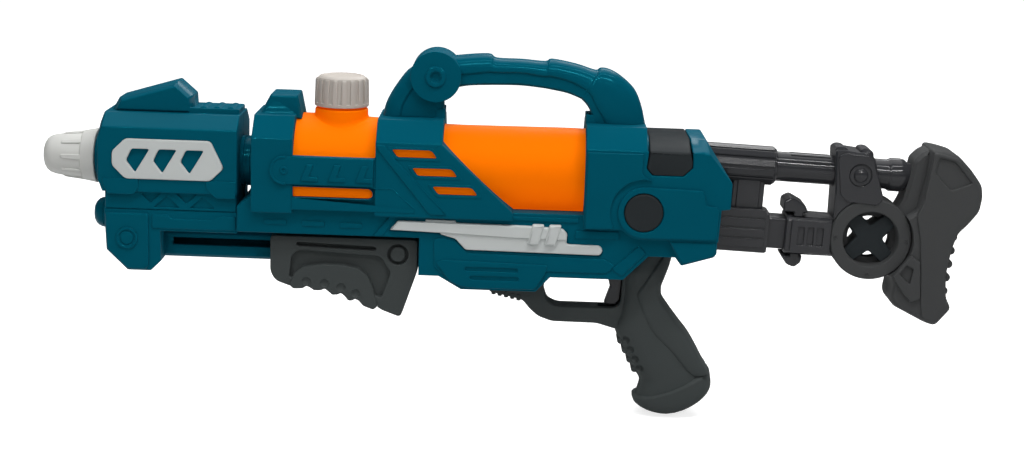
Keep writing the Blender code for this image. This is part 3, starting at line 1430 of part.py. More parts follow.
def grip_outline():
    top = [(SEAT_X2 - CLEAR, SEAT_TOP - CLEAR), (SEAT_X1 + CLEAR, SEAT_TOP - CLEAR), (SEAT_X0, BELLY_BOTTOM - CLEAR)]
    return GRIP_FRONT + GRIP_BASE + GRIP_BACK + top


def guard_outline():
    drop = CLEAR
    top = [
        (SEAT_X0 + 6.0, BELLY_BOTTOM - drop), (BELLY_X0, BELLY_BOTTOM - drop),
        (KEEL_X1 + drop, KEEL_BOTTOM - drop), (GUARD_X0, KEEL_BOTTOM - drop),
    ]
    return GUARD_OUTER + [GRIP_FRONT[0], (SEAT_X0 + 6.0, GRIP_FRONT[0][1])] + top


def guard_gap_outline():
    r = GUARD_GAP_ROUND
    x0, x1, z0 = GUARD_GAP_X0, GUARD_GAP_X1, GUARD_GAP_Z
    left = rounded((x0 + r, z0 + r), 180, 270, r)
    right = [(x1, z0)]
    return left + right + [(x1, BELLY_BOTTOM + CUT), (BELLY_X0 + 2.0, BELLY_BOTTOM + CUT), (x0 + 2.0, KEEL_BOTTOM + 3.0)]


def make_grip(materials):
    holes = screw_tools("grip", GRIP_SCREWS)
    gap = tool("guard_gap", slab(guard_gap_outline(), -BODY_HALF, BODY_HALF))
    slot_end = TRIGGER_BACK + TRIGGER_STROKE_X
    slot_half = TRIGGER_SLOT_HALF
    slot = tool("trigger_slot", box(GUARD_GAP_X1 - CUT, slot_end, -slot_half, slot_half, GUARD_GAP_Z, BELLY_BOTTOM + CUT))
    for side in (-1, 1):
        name = label_of(side)
        grip = link("grip_" + name, side_loft(half_levels(side, grip_outline(), GRIP_HALF, GRIP_EDGE)), materials["dark"])
        guard = side_loft(half_levels(side, guard_outline(), GUARD_HALF, GUARD_EDGE, 1))
        join(grip, [tool("guard_" + name, guard)])
        core = [(-22.0, 8.0), (-19.0, -12.0), (-9.0, -30.0), (-10.0, -46.0), (4.0, -50.0), (27.0, -40.0), (25.0, -24.0), (0.0, 12.0), (-8.0, 24.0)]
        carve(grip, [gap, slot, tool("grip_hollow_" + name, slab(core, -side * CUT, side * (GRIP_HALF - WALL - 0.8)))])
        join(grip, screw_bosses("grip_" + name, GRIP_SCREWS, side, GRIP_HALF - WALL))
        carve(grip, [parting_tool(side)] + holes[side])


# Carry handle


def handle_outline():
    top = HOUSING_TOP + HANDLE_RISE
    under = top - HANDLE_BAR
    z0 = HANDLE_FOOT_Z
    front = [(HANDLE_FRONT_X0 + run, z0 + rise) for run, rise in HANDLE_FRONT_LEG]
    over = [(x, top - drop) for x, drop in HANDLE_OVER]
    back = [(HANDLE_REAR_X1, z0), (HANDLE_REAR_X0, z0), (HANDLE_REAR_X0 - HANDLE_LEAN, z0 + HANDLE_LEAN_RISE)]
    below = [(x, under - drop) for x, drop in HANDLE_BELOW]
    foot = [(HANDLE_FRONT_X1 - HANDLE_LEAN, z0 + HANDLE_LEAN_RISE), (HANDLE_FRONT_X1, z0)]
    return front + over + back + below + foot


def make_handle(materials):
    holes = screw_tools("handle", HANDLE_SCREWS)
    centre = (HANDLE_DISC_X, HANDLE_DISC_Z)
    for side in (-1, 1):
        name = label_of(side)
        handle = link("handle_" + name, side_loft(half_levels(side, handle_outline(), HANDLE_HALF, HANDLE_EDGE)), materials["teal"])
        end = side * HANDLE_DISC_HALF
        edge = end - side * 2.0
        boss = turned([
            (past(side, 2), 0.0), (past(side, 2), HANDLE_DISC_R), (edge, HANDLE_DISC_R), (end, HANDLE_DISC_R - 2.0), (end, 0.0),
        ], "Y", centre, MEDIUM_STEPS)
        core = inset(handle_outline(), HANDLE_WALL)
        hollow = slab(core, -side * CUT, side * (HANDLE_HALF - HANDLE_WALL - 1.0))
        join(handle, [tool("handle_boss_" + name, boss)])
        carve(handle, [tool("handle_hollow_" + name, hollow)])
        join(handle, screw_bosses("handle_" + name, HANDLE_SCREWS, side, HANDLE_HALF - HANDLE_WALL))
        carve(handle, [parting_tool(side)] + holes[side])


# Stock


def make_stock_frame():
    frame = bpy.data.objects.new("stock_frame", None)
    frame.location = (STOCK_X * MM, 0.0, STOCK_Z * MM)
    frame.rotation_euler = (0.0, math.radians(STOCK_DROP), 0.0)
    bpy.context.scene.collection.objects.link(frame)
    return frame


def lower_section(half, rise, bevel=BOX_BEVEL):
    return bevelled_box(half, LOWER_W - rise, LOWER_W + rise, bevel)


def make_sleeve(stock, materials):
    upper = (0.0, UPPER_W)
    profile = [(SLEEVE_U0, 0.0), (SLEEVE_U0, UPPER_SLEEVE_R), (SLEEVE_U1, UPPER_SLEEVE_R), (SLEEVE_U1, 0.0)]
    flutes = turned(profile, "X", upper, SLEEVE_FLUTES * 2, flute=SLEEVE_FLUTE_DEPTH)
    sleeve = link("stock_sleeve", flutes, materials["gloss"], stock)
    section = lower_section(LOWER_SLEEVE_HALF, LOWER_SLEEVE_RISE)
    lower = long_loft([(SLEEVE_U0, section), (LOWER_SLEEVE_U1, section)])
    web = box(WEB_U0, WEB_U1, -WEB_HALF, WEB_HALF, LOWER_W, UPPER_W)
    join(sleeve, [tool("lower_sleeve", lower, stock), tool("sleeve_web", web, stock)])
    upper_bore = rod("X", upper, SLEEVE_U0 + WALL, SLEEVE_U1 + CUT, UPPER_TUBE_R + CLEAR, MEDIUM_STEPS)
    bore_section = lower_section(LOWER_TUBE_HALF + CLEAR, LOWER_TUBE_RISE + CLEAR)
    lower_bore = long_loft([(SLEEVE_U0 + WALL, bore_section), (SLEEVE_U1 + CUT, bore_section)])
    return carve(sleeve, [tool("upper_bore", upper_bore, stock), tool("lower_bore", lower_bore, stock)])


def make_stock_tubes(stock, materials):
    bulge = UPPER_TUBE_BULGE_U
    profile = [
        (TUBE_U0, UPPER_BORE_R), (TUBE_U0, UPPER_TUBE_R), (bulge, UPPER_TUBE_R), (bulge + 2.0, UPPER_TUBE_R + 1.3),
        (bulge + UPPER_TUBE_BULGE - 3.0, UPPER_TUBE_R + 1.3), (bulge + UPPER_TUBE_BULGE, UPPER_TUBE_R - 1.0),
        (bulge + UPPER_TUBE_BULGE, UPPER_TENON_R), (UPPER_TUBE_U1, UPPER_TENON_R), (UPPER_TUBE_U1, UPPER_TENON_R - THIN),
        (bulge, UPPER_TENON_R - THIN), (bulge, UPPER_BORE_R),
    ]
    upper = turned(profile, "X", (0.0, UPPER_W), MEDIUM_STEPS, closed=True)
    link("stock_tube_upper", upper, materials["gloss"], stock)
    end = RING_U - RING_R - WALL
    section = lower_section(LOWER_TUBE_HALF, LOWER_TUBE_RISE)
    lower = link("stock_tube_lower", long_loft([(TUBE_U0, section), (end, section)]), materials["gloss"], stock)
    core = lower_section(LOWER_TUBE_HALF - LOWER_TUBE_WALL, LOWER_TUBE_RISE - LOWER_TUBE_WALL)
    return carve(lower, [tool("lower_tube_bore", long_loft([(TUBE_U0 - CUT, core), (end + CUT, core)]), stock)])


def make_bracket(stock, materials):
    section = bevelled_box(BRACKET_HALF, BRACKET_BOTTOM, BRACKET_TOP, BOX_BEVEL)
    bracket = link("stock_bracket", long_loft([(BRACKET_U0, section), (BRACKET_U1, section)]), materials["gloss"], stock)
    edge = 1.0
    arm = side_loft([
        (-ARM_HALF, inset(ARM_OUTLINE, edge)), (-ARM_HALF + edge, ARM_OUTLINE),
        (ARM_HALF - edge, ARM_OUTLINE), (ARM_HALF, inset(ARM_OUTLINE, edge)),
    ])
    boss = rod("Y", ((ARM_OUTLINE[4][0]), UPPER_W), -ARM_HALF - 1.6, ARM_HALF + 1.6, 7.0, MEDIUM_STEPS)
    join(bracket, [tool("arm", arm, stock), tool("arm_boss", boss, stock)])
    tube_end = RING_U - RING_R - WALL
    bore = lower_section(LOWER_TUBE_HALF + CLEAR, LOWER_TUBE_RISE + CLEAR)
    slot_half = TAB_HALF + CLEAR
    slot = box(TAB_U0 - CLEAR, TAB_U0 + TAB_THICK + CLEAR, -slot_half, slot_half, BRACKET_BOTTOM - CUT, BRACKET_TOP + CUT)
    clamp = rod("X", (0.0, UPPER_W), BRACKET_U0, RING_U + RING_R, UPPER_TUBE_R + CLEAR, MEDIUM_STEPS)
    far = BRACKET_HALF + CUT
    ring = rod("Y", (RING_U, RING_W), -far, far, RING_R + CLEAR, ROUND_STEPS)
    return carve(bracket, [
        tool("bracket_bore", long_loft([(BRACKET_U0 - CUT, bore), (tube_end + CLEAR, bore)]), stock),
        tool("tab_slot", slot, stock), tool("clamp_bore", clamp, stock), tool("ring_seat", ring, stock),
    ])


def make_tab(stock, materials):
    low, high = TAB_LOW_HEAD[0][1] - 1.0, TAB_TOP_HEAD[0][1] + 1.0
    plate = box(TAB_U0, TAB_U0 + TAB_THICK, -TAB_HALF, TAB_HALF, low, high)
    tab = link("release_tab", plate, materials["gloss"], stock)
    heads = [slab(outline, -TAB_HALF, TAB_HALF) for outline in (TAB_TOP_HEAD, TAB_LOW_HEAD)]
    join(tab, [tool(f"tab_head_{i}", head, stock) for i, head in enumerate(heads)])
    room = LOWER_TUBE_RISE + TAB_TRAVEL + CLEAR
    half = LOWER_TUBE_HALF + CLEAR
    hole = box(TAB_U0 - CUT, TAB_U0 + TAB_THICK + CUT, -half, half, LOWER_W - room, LOWER_W + room)
    return carve(tab, [tool("tab_hole", hole, stock)])


def make_ring(stock, materials):
    centre = (RING_U, RING_W)
    for side in (-1, 1):
        near, end = side * PARTING, side * RING_HALF
        profile = [
            (near, RING_HOLE_R), (near, RING_R), (end - side * RING_EDGE, RING_R),
            (end, RING_R - RING_EDGE), (end, RING_HOLE_R + 1.0), (end - side * 1.0, RING_HOLE_R),
        ]
        ring = turned(profile, "Y", centre, ROUND_STEPS, closed=True)
        link("stock_ring_" + label_of(side), ring, materials["dark"], stock)
    reach = RING_HOLE_R - CLEAR
    cross = link("ring_cross", rod("Y", centre, -CROSS_HALF, CROSS_HALF, CROSS_HUB_R, MEDIUM_STEPS), materials["dark"], stock)
    bars = []
    for i, turn in enumerate((45.0, 135.0)):
        along = Vector((math.cos(math.radians(turn)), math.sin(math.radians(turn))))
        across = Vector((-along.y, along.x)) * CROSS_BAR / 2
        along *= math.sqrt(reach ** 2 - (CROSS_BAR / 2) ** 2)
        middle = Vector(centre)
        outline = [tuple(middle + along * s + across * t) for s, t in ((-1, -1), (1, -1), (1, 1), (-1, 1))]
        bars.append(tool(f"cross_bar_{i}", slab(outline, -CROSS_HALF + 0.5, CROSS_HALF - 0.5), stock))
    return join(cross, bars)


def butt_outline():
    return BUTT_FRONT + BUTT_REAR + BUTT_NECK + BUTT_FOOT


def make_butt(stock, materials):
    holes = screw_tools("stock", STOCK_SCREWS, stock)
    far = BUTT_HALF + CUT
    ring = tool("butt_ring_seat", rod("Y", (RING_U, RING_W), -far, far, RING_R + CLEAR, ROUND_STEPS), stock)
    tenon = rod("X", (0.0, UPPER_W), UPPER_TUBE_BULGE_U, UPPER_TUBE_U1 + CLEAR, UPPER_TENON_R + CLEAR, MEDIUM_STEPS)
    tenon = tool("butt_tenon", tenon, stock)
    core = inset(butt_outline()[1:-1], WALL + 1.0)
    for side in (-1, 1):
        name = label_of(side)
        butt = link("butt_" + name, side_loft(half_levels(side, butt_outline(), BUTT_HALF, BUTT_EDGE)), materials["dark"], stock)
        hollow = tool("butt_hollow_" + name, slab(core, -side * CUT, side * (BUTT_HALF - WALL - 1.0)), stock)
        carve(butt, [hollow])
        join(butt, screw_bosses("stock_" + name, STOCK_SCREWS, side, BUTT_HALF - WALL, stock))
        carve(butt, [ring, tenon, parting_tool(side, stock)] + holes[side])


def main():
    clear_scene()
    materials = make_materials()
    stock = make_stock_frame()
    body_holes = screw_tools("body", BODY_SCREWS)
    cutters = body_cutters(stock)
    cylinder_way = rod("X", (0.0, PUMP_Z), CYL_X0 - GUIDE_FLANGE - CUT, CYL_X1 + CLEAR, CYL_R + CLEAR, MEDIUM_STEPS)
    cylinder_way = tool("cylinder_way", cylinder_way)
    front_holes = screw_tools("front", FRONT_SCREWS)
    front = front_cutters()
    for side in (-1, 1):
        make_body(side, materials, cutters, cylinder_way, body_holes)
        make_front(side, materials, front, front_holes)
    make_saddle(materials)
    make_discs(materials)
    make_trims(materials)
    make_tank(materials)
    make_cap(materials)
    make_plates(materials)
    make_barrel(materials)
    make_nozzle(materials)
    make_plug(materials)
    make_rail(materials)
    make_pump_grip(materials)
    make_link(materials)
    make_piston(materials)
    make_cylinder(materials)
    make_valve(materials)
    make_outlet_hose(materials)
    make_trigger(materials)
    make_trigger_spring(materials)
    make_grip(materials)
    make_handle(materials)
    make_sleeve(stock, materials)
    make_stock_tubes(stock, materials)
    make_bracket(stock, materials)
    make_tab(stock, materials)
    make_ring(stock, materials)
    make_butt(stock, materials)
    make_screws("body_screw", BODY_SCREWS, materials["steel"])
    make_screws("front_screw", FRONT_SCREWS, materials["steel"])
    make_screws("handle_screw", HANDLE_SCREWS, materials["steel"])
    make_screws("grip_screw", GRIP_SCREWS, materials["steel"])
    make_screws("pump_screw", PUMP_SCREWS, materials["steel"])
    make_screws("stock_screw", STOCK_SCREWS, materials["steel"], stock)


main()
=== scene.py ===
"""Looks of the pump-action water squirter: rounded mouldings, relief and procedural plastics.

Pieces are drawn in millimetres in the frame's axes: -X is the nozzle, -Y the left side, +Z up.
"""

import json
import math

import bmesh
import bpy
from mathutils import Matrix, Vector


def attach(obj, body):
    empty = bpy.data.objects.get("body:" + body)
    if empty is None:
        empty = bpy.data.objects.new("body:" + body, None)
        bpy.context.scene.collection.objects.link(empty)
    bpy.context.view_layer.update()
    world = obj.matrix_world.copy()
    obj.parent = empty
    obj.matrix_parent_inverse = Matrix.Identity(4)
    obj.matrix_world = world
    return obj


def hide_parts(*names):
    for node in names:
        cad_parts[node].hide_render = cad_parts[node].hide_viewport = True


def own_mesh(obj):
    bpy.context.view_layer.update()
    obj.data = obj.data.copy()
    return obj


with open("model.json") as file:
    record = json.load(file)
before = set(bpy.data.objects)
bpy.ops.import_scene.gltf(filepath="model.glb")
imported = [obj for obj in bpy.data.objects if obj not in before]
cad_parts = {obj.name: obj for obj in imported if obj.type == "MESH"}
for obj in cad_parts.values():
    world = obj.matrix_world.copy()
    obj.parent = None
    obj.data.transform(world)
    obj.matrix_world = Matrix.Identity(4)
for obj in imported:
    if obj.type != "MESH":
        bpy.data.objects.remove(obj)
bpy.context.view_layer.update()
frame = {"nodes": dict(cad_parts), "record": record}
MM = 0.001
PHOTO_WIDTH = 1024
SIDES = (-1, 1)
SIDE_NAME = {-1: "left", 1: "right"}
SEAM = 0.15

# Camera and stage
AIM = (-109.2, 0.0, 70.0)
STAND_OFF = 1300.0
LOOK_DOWN = 12.0
ROLL = 2.0
FOCAL_PIXELS = 1857.0
SENSOR = 36.0
FLOOR_Z = -58.6
FLOOR_REACH = 9000.0

# Colours in linear light, each with the shade it drifts to
TEAL = ((0.0008, 0.092, 0.142), (0.0006, 0.076, 0.12))
ORANGE = ((1.0, 0.2, 0.0008), (0.96, 0.172, 0.0006))
PALE = ((0.62, 0.652, 0.643), (0.57, 0.6, 0.592))
MILK = ((0.68, 0.685, 0.66), (0.63, 0.635, 0.61))
CREAM = ((0.52, 0.48, 0.44), (0.48, 0.44, 0.4))
SLATE = ((0.056, 0.065, 0.065), (0.048, 0.056, 0.056))
COAL = ((0.022, 0.027, 0.03), (0.019, 0.023, 0.025))
SMOKE = ((0.058, 0.06, 0.061), (0.05, 0.052, 0.053))
GRAPHITE = ((0.036, 0.037, 0.041), (0.03, 0.031, 0.034))
BLACK = ((0.014, 0.014, 0.014), (0.01, 0.01, 0.01))
HOSE = ((0.6, 0.62, 0.61), (0.5, 0.53, 0.52))
STEEL = ((0.6, 0.6, 0.61), (0.42, 0.42, 0.43))
TEAL_TINT = (0.05, 0.8, 1.0)
TANK_TINT = (1.0, 0.45, 0.02)

# Painted glow on the tank, standing in for light let through its wall, brighter on the underside
PAINTED_WALL_GLOW = (0.16, 0.021, 0.0)
PAINTED_UNDER_GLOW = (0.66, 0.075, 0.0)
PAINTED_GLOW_RANGE = (0.06, 0.85)

# How far a surface turns from the eye before its gloss fades, and has gone
EDGE_ON = (0.55, 0.85)

# Floor: its own grey, the grey and white it shows, and where one turns to the other, in metres
FLOOR_GREY = (0.6, 0.6, 0.6)
FLOOR_NEAR = (0.78, 0.78, 0.78)
WHITE = (1.0, 1.0, 1.0)
NO_LIGHT = (0.0, 0.0, 0.0)
FLOOR_FADE = (0.4, 1.0)


# Shader maths


def feed(tree, socket, value):
    """A socket takes a link, a colour or a plain value."""
    if isinstance(value, Wire):
        value = value.socket
    if isinstance(value, bpy.types.NodeSocket):
        tree.links.new(value, socket)
    elif isinstance(value, tuple) and socket.type == "RGBA":
        socket.default_value = (*value, 1.0)
    else:
        socket.default_value = value


def add_node(tree, kind, settings=None, inputs=None):
    """Any node: its settings first, then what its sockets take."""
    node = tree.nodes.new(kind)
    for key, value in (settings or {}).items():
        setattr(node, key, value)
    for key, value in (inputs or {}).items():
        feed(tree, node.inputs[key], value)
    return node


class Wire:
    """A value in a node tree, so that shader sums are written as Python sums."""

    def __init__(self, finish, socket):
        self.finish = finish
        self.socket = socket

    def sum(self, operation, first, second):
        return self.finish.wire("ShaderNodeMath", 0, {0: first, 1: second}, operation=operation)

    def __add__(self, other):
        return self.sum("ADD", self, other)

    def __rsub__(self, other):
        return self.sum("SUBTRACT", other, self)

    def __mul__(self, other):
        return self.sum("MULTIPLY", self, other)

    __radd__ = __add__
    __rmul__ = __mul__


class Finish:
    """A material in the making."""

    def __init__(self, name):
        self.material = bpy.data.materials.new(name)
        self.material.use_nodes = True
        self.tree = self.material.node_tree
        self.shader = self.tree.nodes["Principled BSDF"]
        self.place = self.wire("ShaderNodeTexCoord", "Object")

    def wire(self, kind, output, inputs=None, **settings):
        """One output of a new node."""
        return Wire(self, add_node(self.tree, kind, settings, inputs).outputs[output])

    def noise(self, scale, detail=2.0, stretch=(1.0, 1.0, 1.0)):
        spread = self.wire("ShaderNodeMapping", 0, {"Vector": self.place, "Scale": stretch})
        return self.wire("ShaderNodeTexNoise", "Fac", {"Vector": spread, "Scale": scale, "Detail": detail})

    def between(self, value, low, high):
        """0 below low, 1 above high."""
        share = self.wire("ShaderNodeValToRGB", "Color", {"Fac": value})
        black, white = share.socket.node.color_ramp.elements
        black.position, white.position = low, high
        return share

    def mix(self, share, first, second):
        return self.wire("ShaderNodeMix", 2, {0: share, 6: first, 7: second}, data_type="RGBA")

    def drift(self, share, colours):
        """From the shade of a pair to its colour."""
        colour, shade = colours
        return self.mix(share, shade, colour)

    def graze(self):
        """0 where the surface faces the eye, 1 where it is seen edge on."""
        return self.between(self.wire("ShaderNodeLayerWeight", "Facing", {"Blend": 0.5}), *EDGE_ON)

    def underside(self):
        """1 where the surface faces straight down, 0 where it is upright, less where it faces up."""
        facing = self.wire("ShaderNodeTexCoord", "Normal")
        return 0.0 - self.wire("ShaderNodeSeparateXYZ", "Z", {"Vector": facing})

    def bump(self, height, depth):
        return self.wire("ShaderNodeBump", "Normal", {"Height": height, "Distance": depth})

    def wear(self, **sockets):
        for key, value in sockets.items():
            feed(self.tree, self.shader.inputs[key.replace("_", " ")], value)
        return self.material


def gloss_plastic(name, colours, roughness, specular, tint=WHITE):
    """Polished moulded plastic: flow marks, handling smears, dust specks and a faint ripple."""
    finish = Finish(name)
    flow = finish.noise(14.0, 3.0, (0.35, 1.0, 1.0))
    smear = finish.between(finish.noise(38.0, 4.0), 0.48, 0.72)
    speck = finish.between(finish.noise(900.0, 1.0), 0.66, 0.8)
    return finish.wear(
        Base_Color=finish.drift(flow, colours),
        Roughness=roughness + smear * 0.07 + speck * 0.05 + finish.graze() * 0.6,
        Specular_IOR_Level=specular,
        Specular_Tint=tint,
        Normal=finish.bump(finish.noise(120.0, 2.0) + speck * 0.2, 0.00004),
    )


def textured_plastic(name, colours, roughness, grain_scale, grain_depth, specular):
    """Spark-textured moulded plastic: a dry even grain, rubbed smoother in patches."""
    finish = Finish(name)
    cloud = finish.noise(22.0, 4.0)
    grain = finish.noise(grain_scale, 2.0)
    rub = finish.between(finish.noise(55.0, 5.0), 0.5, 0.75)
    return finish.wear(
        Base_Color=finish.drift(cloud * 0.7 + grain * 0.3, colours),
        Roughness=roughness - rub * 0.1 + grain * 0.08 + finish.graze() * 0.3,
        Specular_IOR_Level=specular,
        Normal=finish.bump(grain, grain_depth),
    )


def tank_plastic(name, colours):
    """Blow-moulded tank wall: long faint streaks, a waxy sheen, and a painted glow standing in for light let
    through the wall.
    """
    finish = Finish(name)
    streak = finish.noise(26.0, 3.0, (0.12, 1.0, 1.0))
    cloud = finish.noise(9.0, 2.0)
    wax = finish.noise(160.0, 2.0)
    # Share of the painted glow: more of it where the wall faces down
    low = finish.between(finish.underside(), *PAINTED_GLOW_RANGE)
    return finish.wear(
        Base_Color=finish.drift(streak * 0.6 + cloud * 0.4, colours),
        Roughness=0.4 + streak * 0.1,
        Specular_IOR_Level=0.05,
        Specular_Tint=TANK_TINT,
        # Painted glow: emission from a faint glow over the wall to a brighter one on the underside
        Emission_Color=finish.mix(low, PAINTED_WALL_GLOW, PAINTED_UNDER_GLOW),
        Emission_Strength=1.0,
        Normal=finish.bump(wax + streak * 0.8, 0.00006),
    )


def drawn_steel(name):
    """Drawn wire and turned screws."""
    finish = Finish(name)
    lines = finish.noise(240.0, 2.0, (0.05, 1.0, 1.0))
    return finish.wear(
        Base_Color=finish.drift(lines, STEEL),
        Roughness=0.24 + lines * 0.14,
        Metallic=1.0,
        Normal=finish.bump(lines, 0.00002),
    )


def stage_white(name):
    """Pale floor that keeps the shadow and shows white to the camera and in reflections."""
    finish = Finish(name)
    keys = ("Is Camera Ray", "Is Glossy Ray", "Is Transmission Ray")
    camera, glossy, through = [finish.wire("ShaderNodeLightPath", key) for key in keys]
    distance = finish.wire("ShaderNodeVectorMath", "Value", {0: finish.place}, operation="LENGTH")
    far = finish.between(distance, *FLOOR_FADE)
    shown = finish.mix(far, FLOOR_NEAR, WHITE)
    return finish.wear(
        Base_Color=FLOOR_GREY,
        Roughness=0.9,
        Specular_IOR_Level=0.0,
        Emission_Color=finish.mix(camera + glossy + through, NO_LIGHT, shown),
        Emission_Strength=1.0,
    )


TEAL_FINISH = gloss_plastic("teal_moulding", TEAL, 0.13, 0.07, TEAL_TINT)
ORANGE_FINISH = tank_plastic("orange_tank_wall", ORANGE)
PALE_FINISH = gloss_plastic("pale_moulding", PALE, 0.36, 0.2)
MILK_FINISH = gloss_plastic("milk_moulding", MILK, 0.32, 0.25)
CREAM_FINISH = gloss_plastic("cream_moulding", CREAM, 0.34, 0.3)
SLATE_FINISH = textured_plastic("slate_moulding", SLATE, 0.6, 1500.0, 0.00006, 0.1)
COAL_FINISH = textured_plastic("coal_moulding", COAL, 0.5, 1300.0, 0.00004, 0.06)
SMOKE_FINISH = textured_plastic("smoke_moulding", SMOKE, 0.55, 1100.0, 0.00006, 0.1)
GRAPHITE_FINISH = gloss_plastic("graphite_moulding", GRAPHITE, 0.1, 0.16)
RUBBER_FINISH = textured_plastic("black_seal", BLACK, 0.7, 900.0, 0.00004, 0.3)
HOSE_FINISH = gloss_plastic("milky_hose", HOSE, 0.25, 0.4)
STEEL_FINISH = drawn_steel("drawn_steel")

SLOT_FINISH = {
    "teal": TEAL_FINISH,
    "tank_orange": ORANGE_FINISH,
    "pale": PALE_FINISH,
    "dark": SLATE_FINISH,
    "dark_gloss": GRAPHITE_FINISH,
    "rubber": RUBBER_FINISH,
    "hose": HOSE_FINISH,
    "steel": STEEL_FINISH,
}
NODE_SLOT = {row["node"]: row["material_slot"] for row in frame["record"]["subparts"]}
NODE_BODY = {node: body for body, nodes in frame["record"]["behaviour"]["bodies"].items() for node in nodes}


def dress_nodes():
    """Every CAD node takes its slot's finish."""
    for name, node in frame["nodes"].items():
        node.data.materials.clear()
        node.data.materials.append(SLOT_FINISH[NODE_SLOT[name]])


# Outlines, in x and z

MITRE_LIMIT = 0.35
CORNER_SHARE = 0.45


def signed_area(outline):
    pairs = zip(outline, outline[1:] + outline[:1])
    return sum(x0 * z1 - x1 * z0 for (x0, z0), (x1, z1) in pairs) / 2


def inset(outline, distance):
    """The outline with every edge moved inwards, or outwards for a negative distance."""
    turn = 1.0 if signed_area(outline) > 0 else -1.0
    moved = []
    for i, point in enumerate(outline):
        here = Vector(point)
        edge_in = (here - Vector(outline[i - 1])).normalized()
        edge_out = (Vector(outline[(i + 1) % len(outline)]) - here).normalized()
        normal_in = Vector((-edge_in.y, edge_in.x)) * turn
        middle = normal_in + Vector((-edge_out.y, edge_out.x)) * turn
        reach = max(middle.dot(normal_in), MITRE_LIMIT)
        moved.append(tuple(here + middle * (distance / reach)))
    return moved


def soften(outline, radius, steps=5):
    """The outline with its corners rounded."""
    points = []
    for i, point in enumerate(outline):
        here = Vector(point)
        before = Vector(outline[i - 1]) - here
        after = Vector(outline[(i + 1) % len(outline)]) - here
        first = here + before.normalized() * min(radius, before.length * CORNER_SHARE)
        last = here + after.normalized() * min(radius, after.length * CORNER_SHARE)
        for k in range(steps + 1):
            t = k / steps
            points.append(tuple(first * (1 - t) ** 2 + here * 2 * t * (1 - t) + last * t ** 2))
    return points


def arc(centre, radius, start, end, steps=16):
    """Points of an arc, its angles in degrees."""
    turns = [math.radians(start + (end - start) * i / steps) for i in range(steps + 1)]
    return [(centre[0] + radius * math.cos(t), centre[1] + radius * math.sin(t)) for t in turns]


def circle(centre, radius, steps=32):
    return arc(centre, radius, 0.0, 360.0, steps)[:-1]


def rectangle(x0, x1, z0, z1):
    return [(x0, z0), (x1, z0), (x1, z1), (x0, z1)]


def shifted(outline, distance):
    return [(x + distance, z) for x, z in outline]


def slot_hole(x0, x1, z0, z1):
    """A long hole with round ends."""
    radius = (z1 - z0) / 2
    middle = (z0 + z1) / 2
    return arc((x1 - radius, middle), radius, -90, 90, 8) + arc((x0 + radius, middle), radius, 90, 270, 8)


def flow(rows, steps):
    """Rows of numbers with smooth rows between them."""
    smooth = []
    last = len(rows) - 1
    for i in range(last):
        picks = [Vector(rows[min(max(i + k, 0), last)]) for k in (-1, 0, 1, 2)]
        before, here, there, after = picks
        for k in range(steps):
            t = k / steps
            bend = (there - before) * t + (2 * before - 5 * here + 4 * there - after) * t ** 2
            bend += (3 * here - before - 3 * there + after) * t ** 3
            smooth.append(tuple(here + bend * 0.5))
    return smooth + [tuple(rows[-1])]


def across(y, outline):
    return [(x, y, z) for x, z in outline]


def rim_levels(outline, base, face, rim, drawn, steps=3):
    """Levels of a plate from base to face; its edge turns over a rim and is drawn in as far."""
    way = 1.0 if face > base else -1.0
    levels = [(base, outline)]
    for i in range(steps + 1):
        turn = math.pi / 2 * i / steps
        y = face - way * rim * (1 - math.sin(turn))
        levels.append((y, inset(outline, drawn * (1 - math.cos(turn)))))
    return levels


# Mesh making

# How deep the root of a raised form is sunk in its wall
ROOT = 1.0


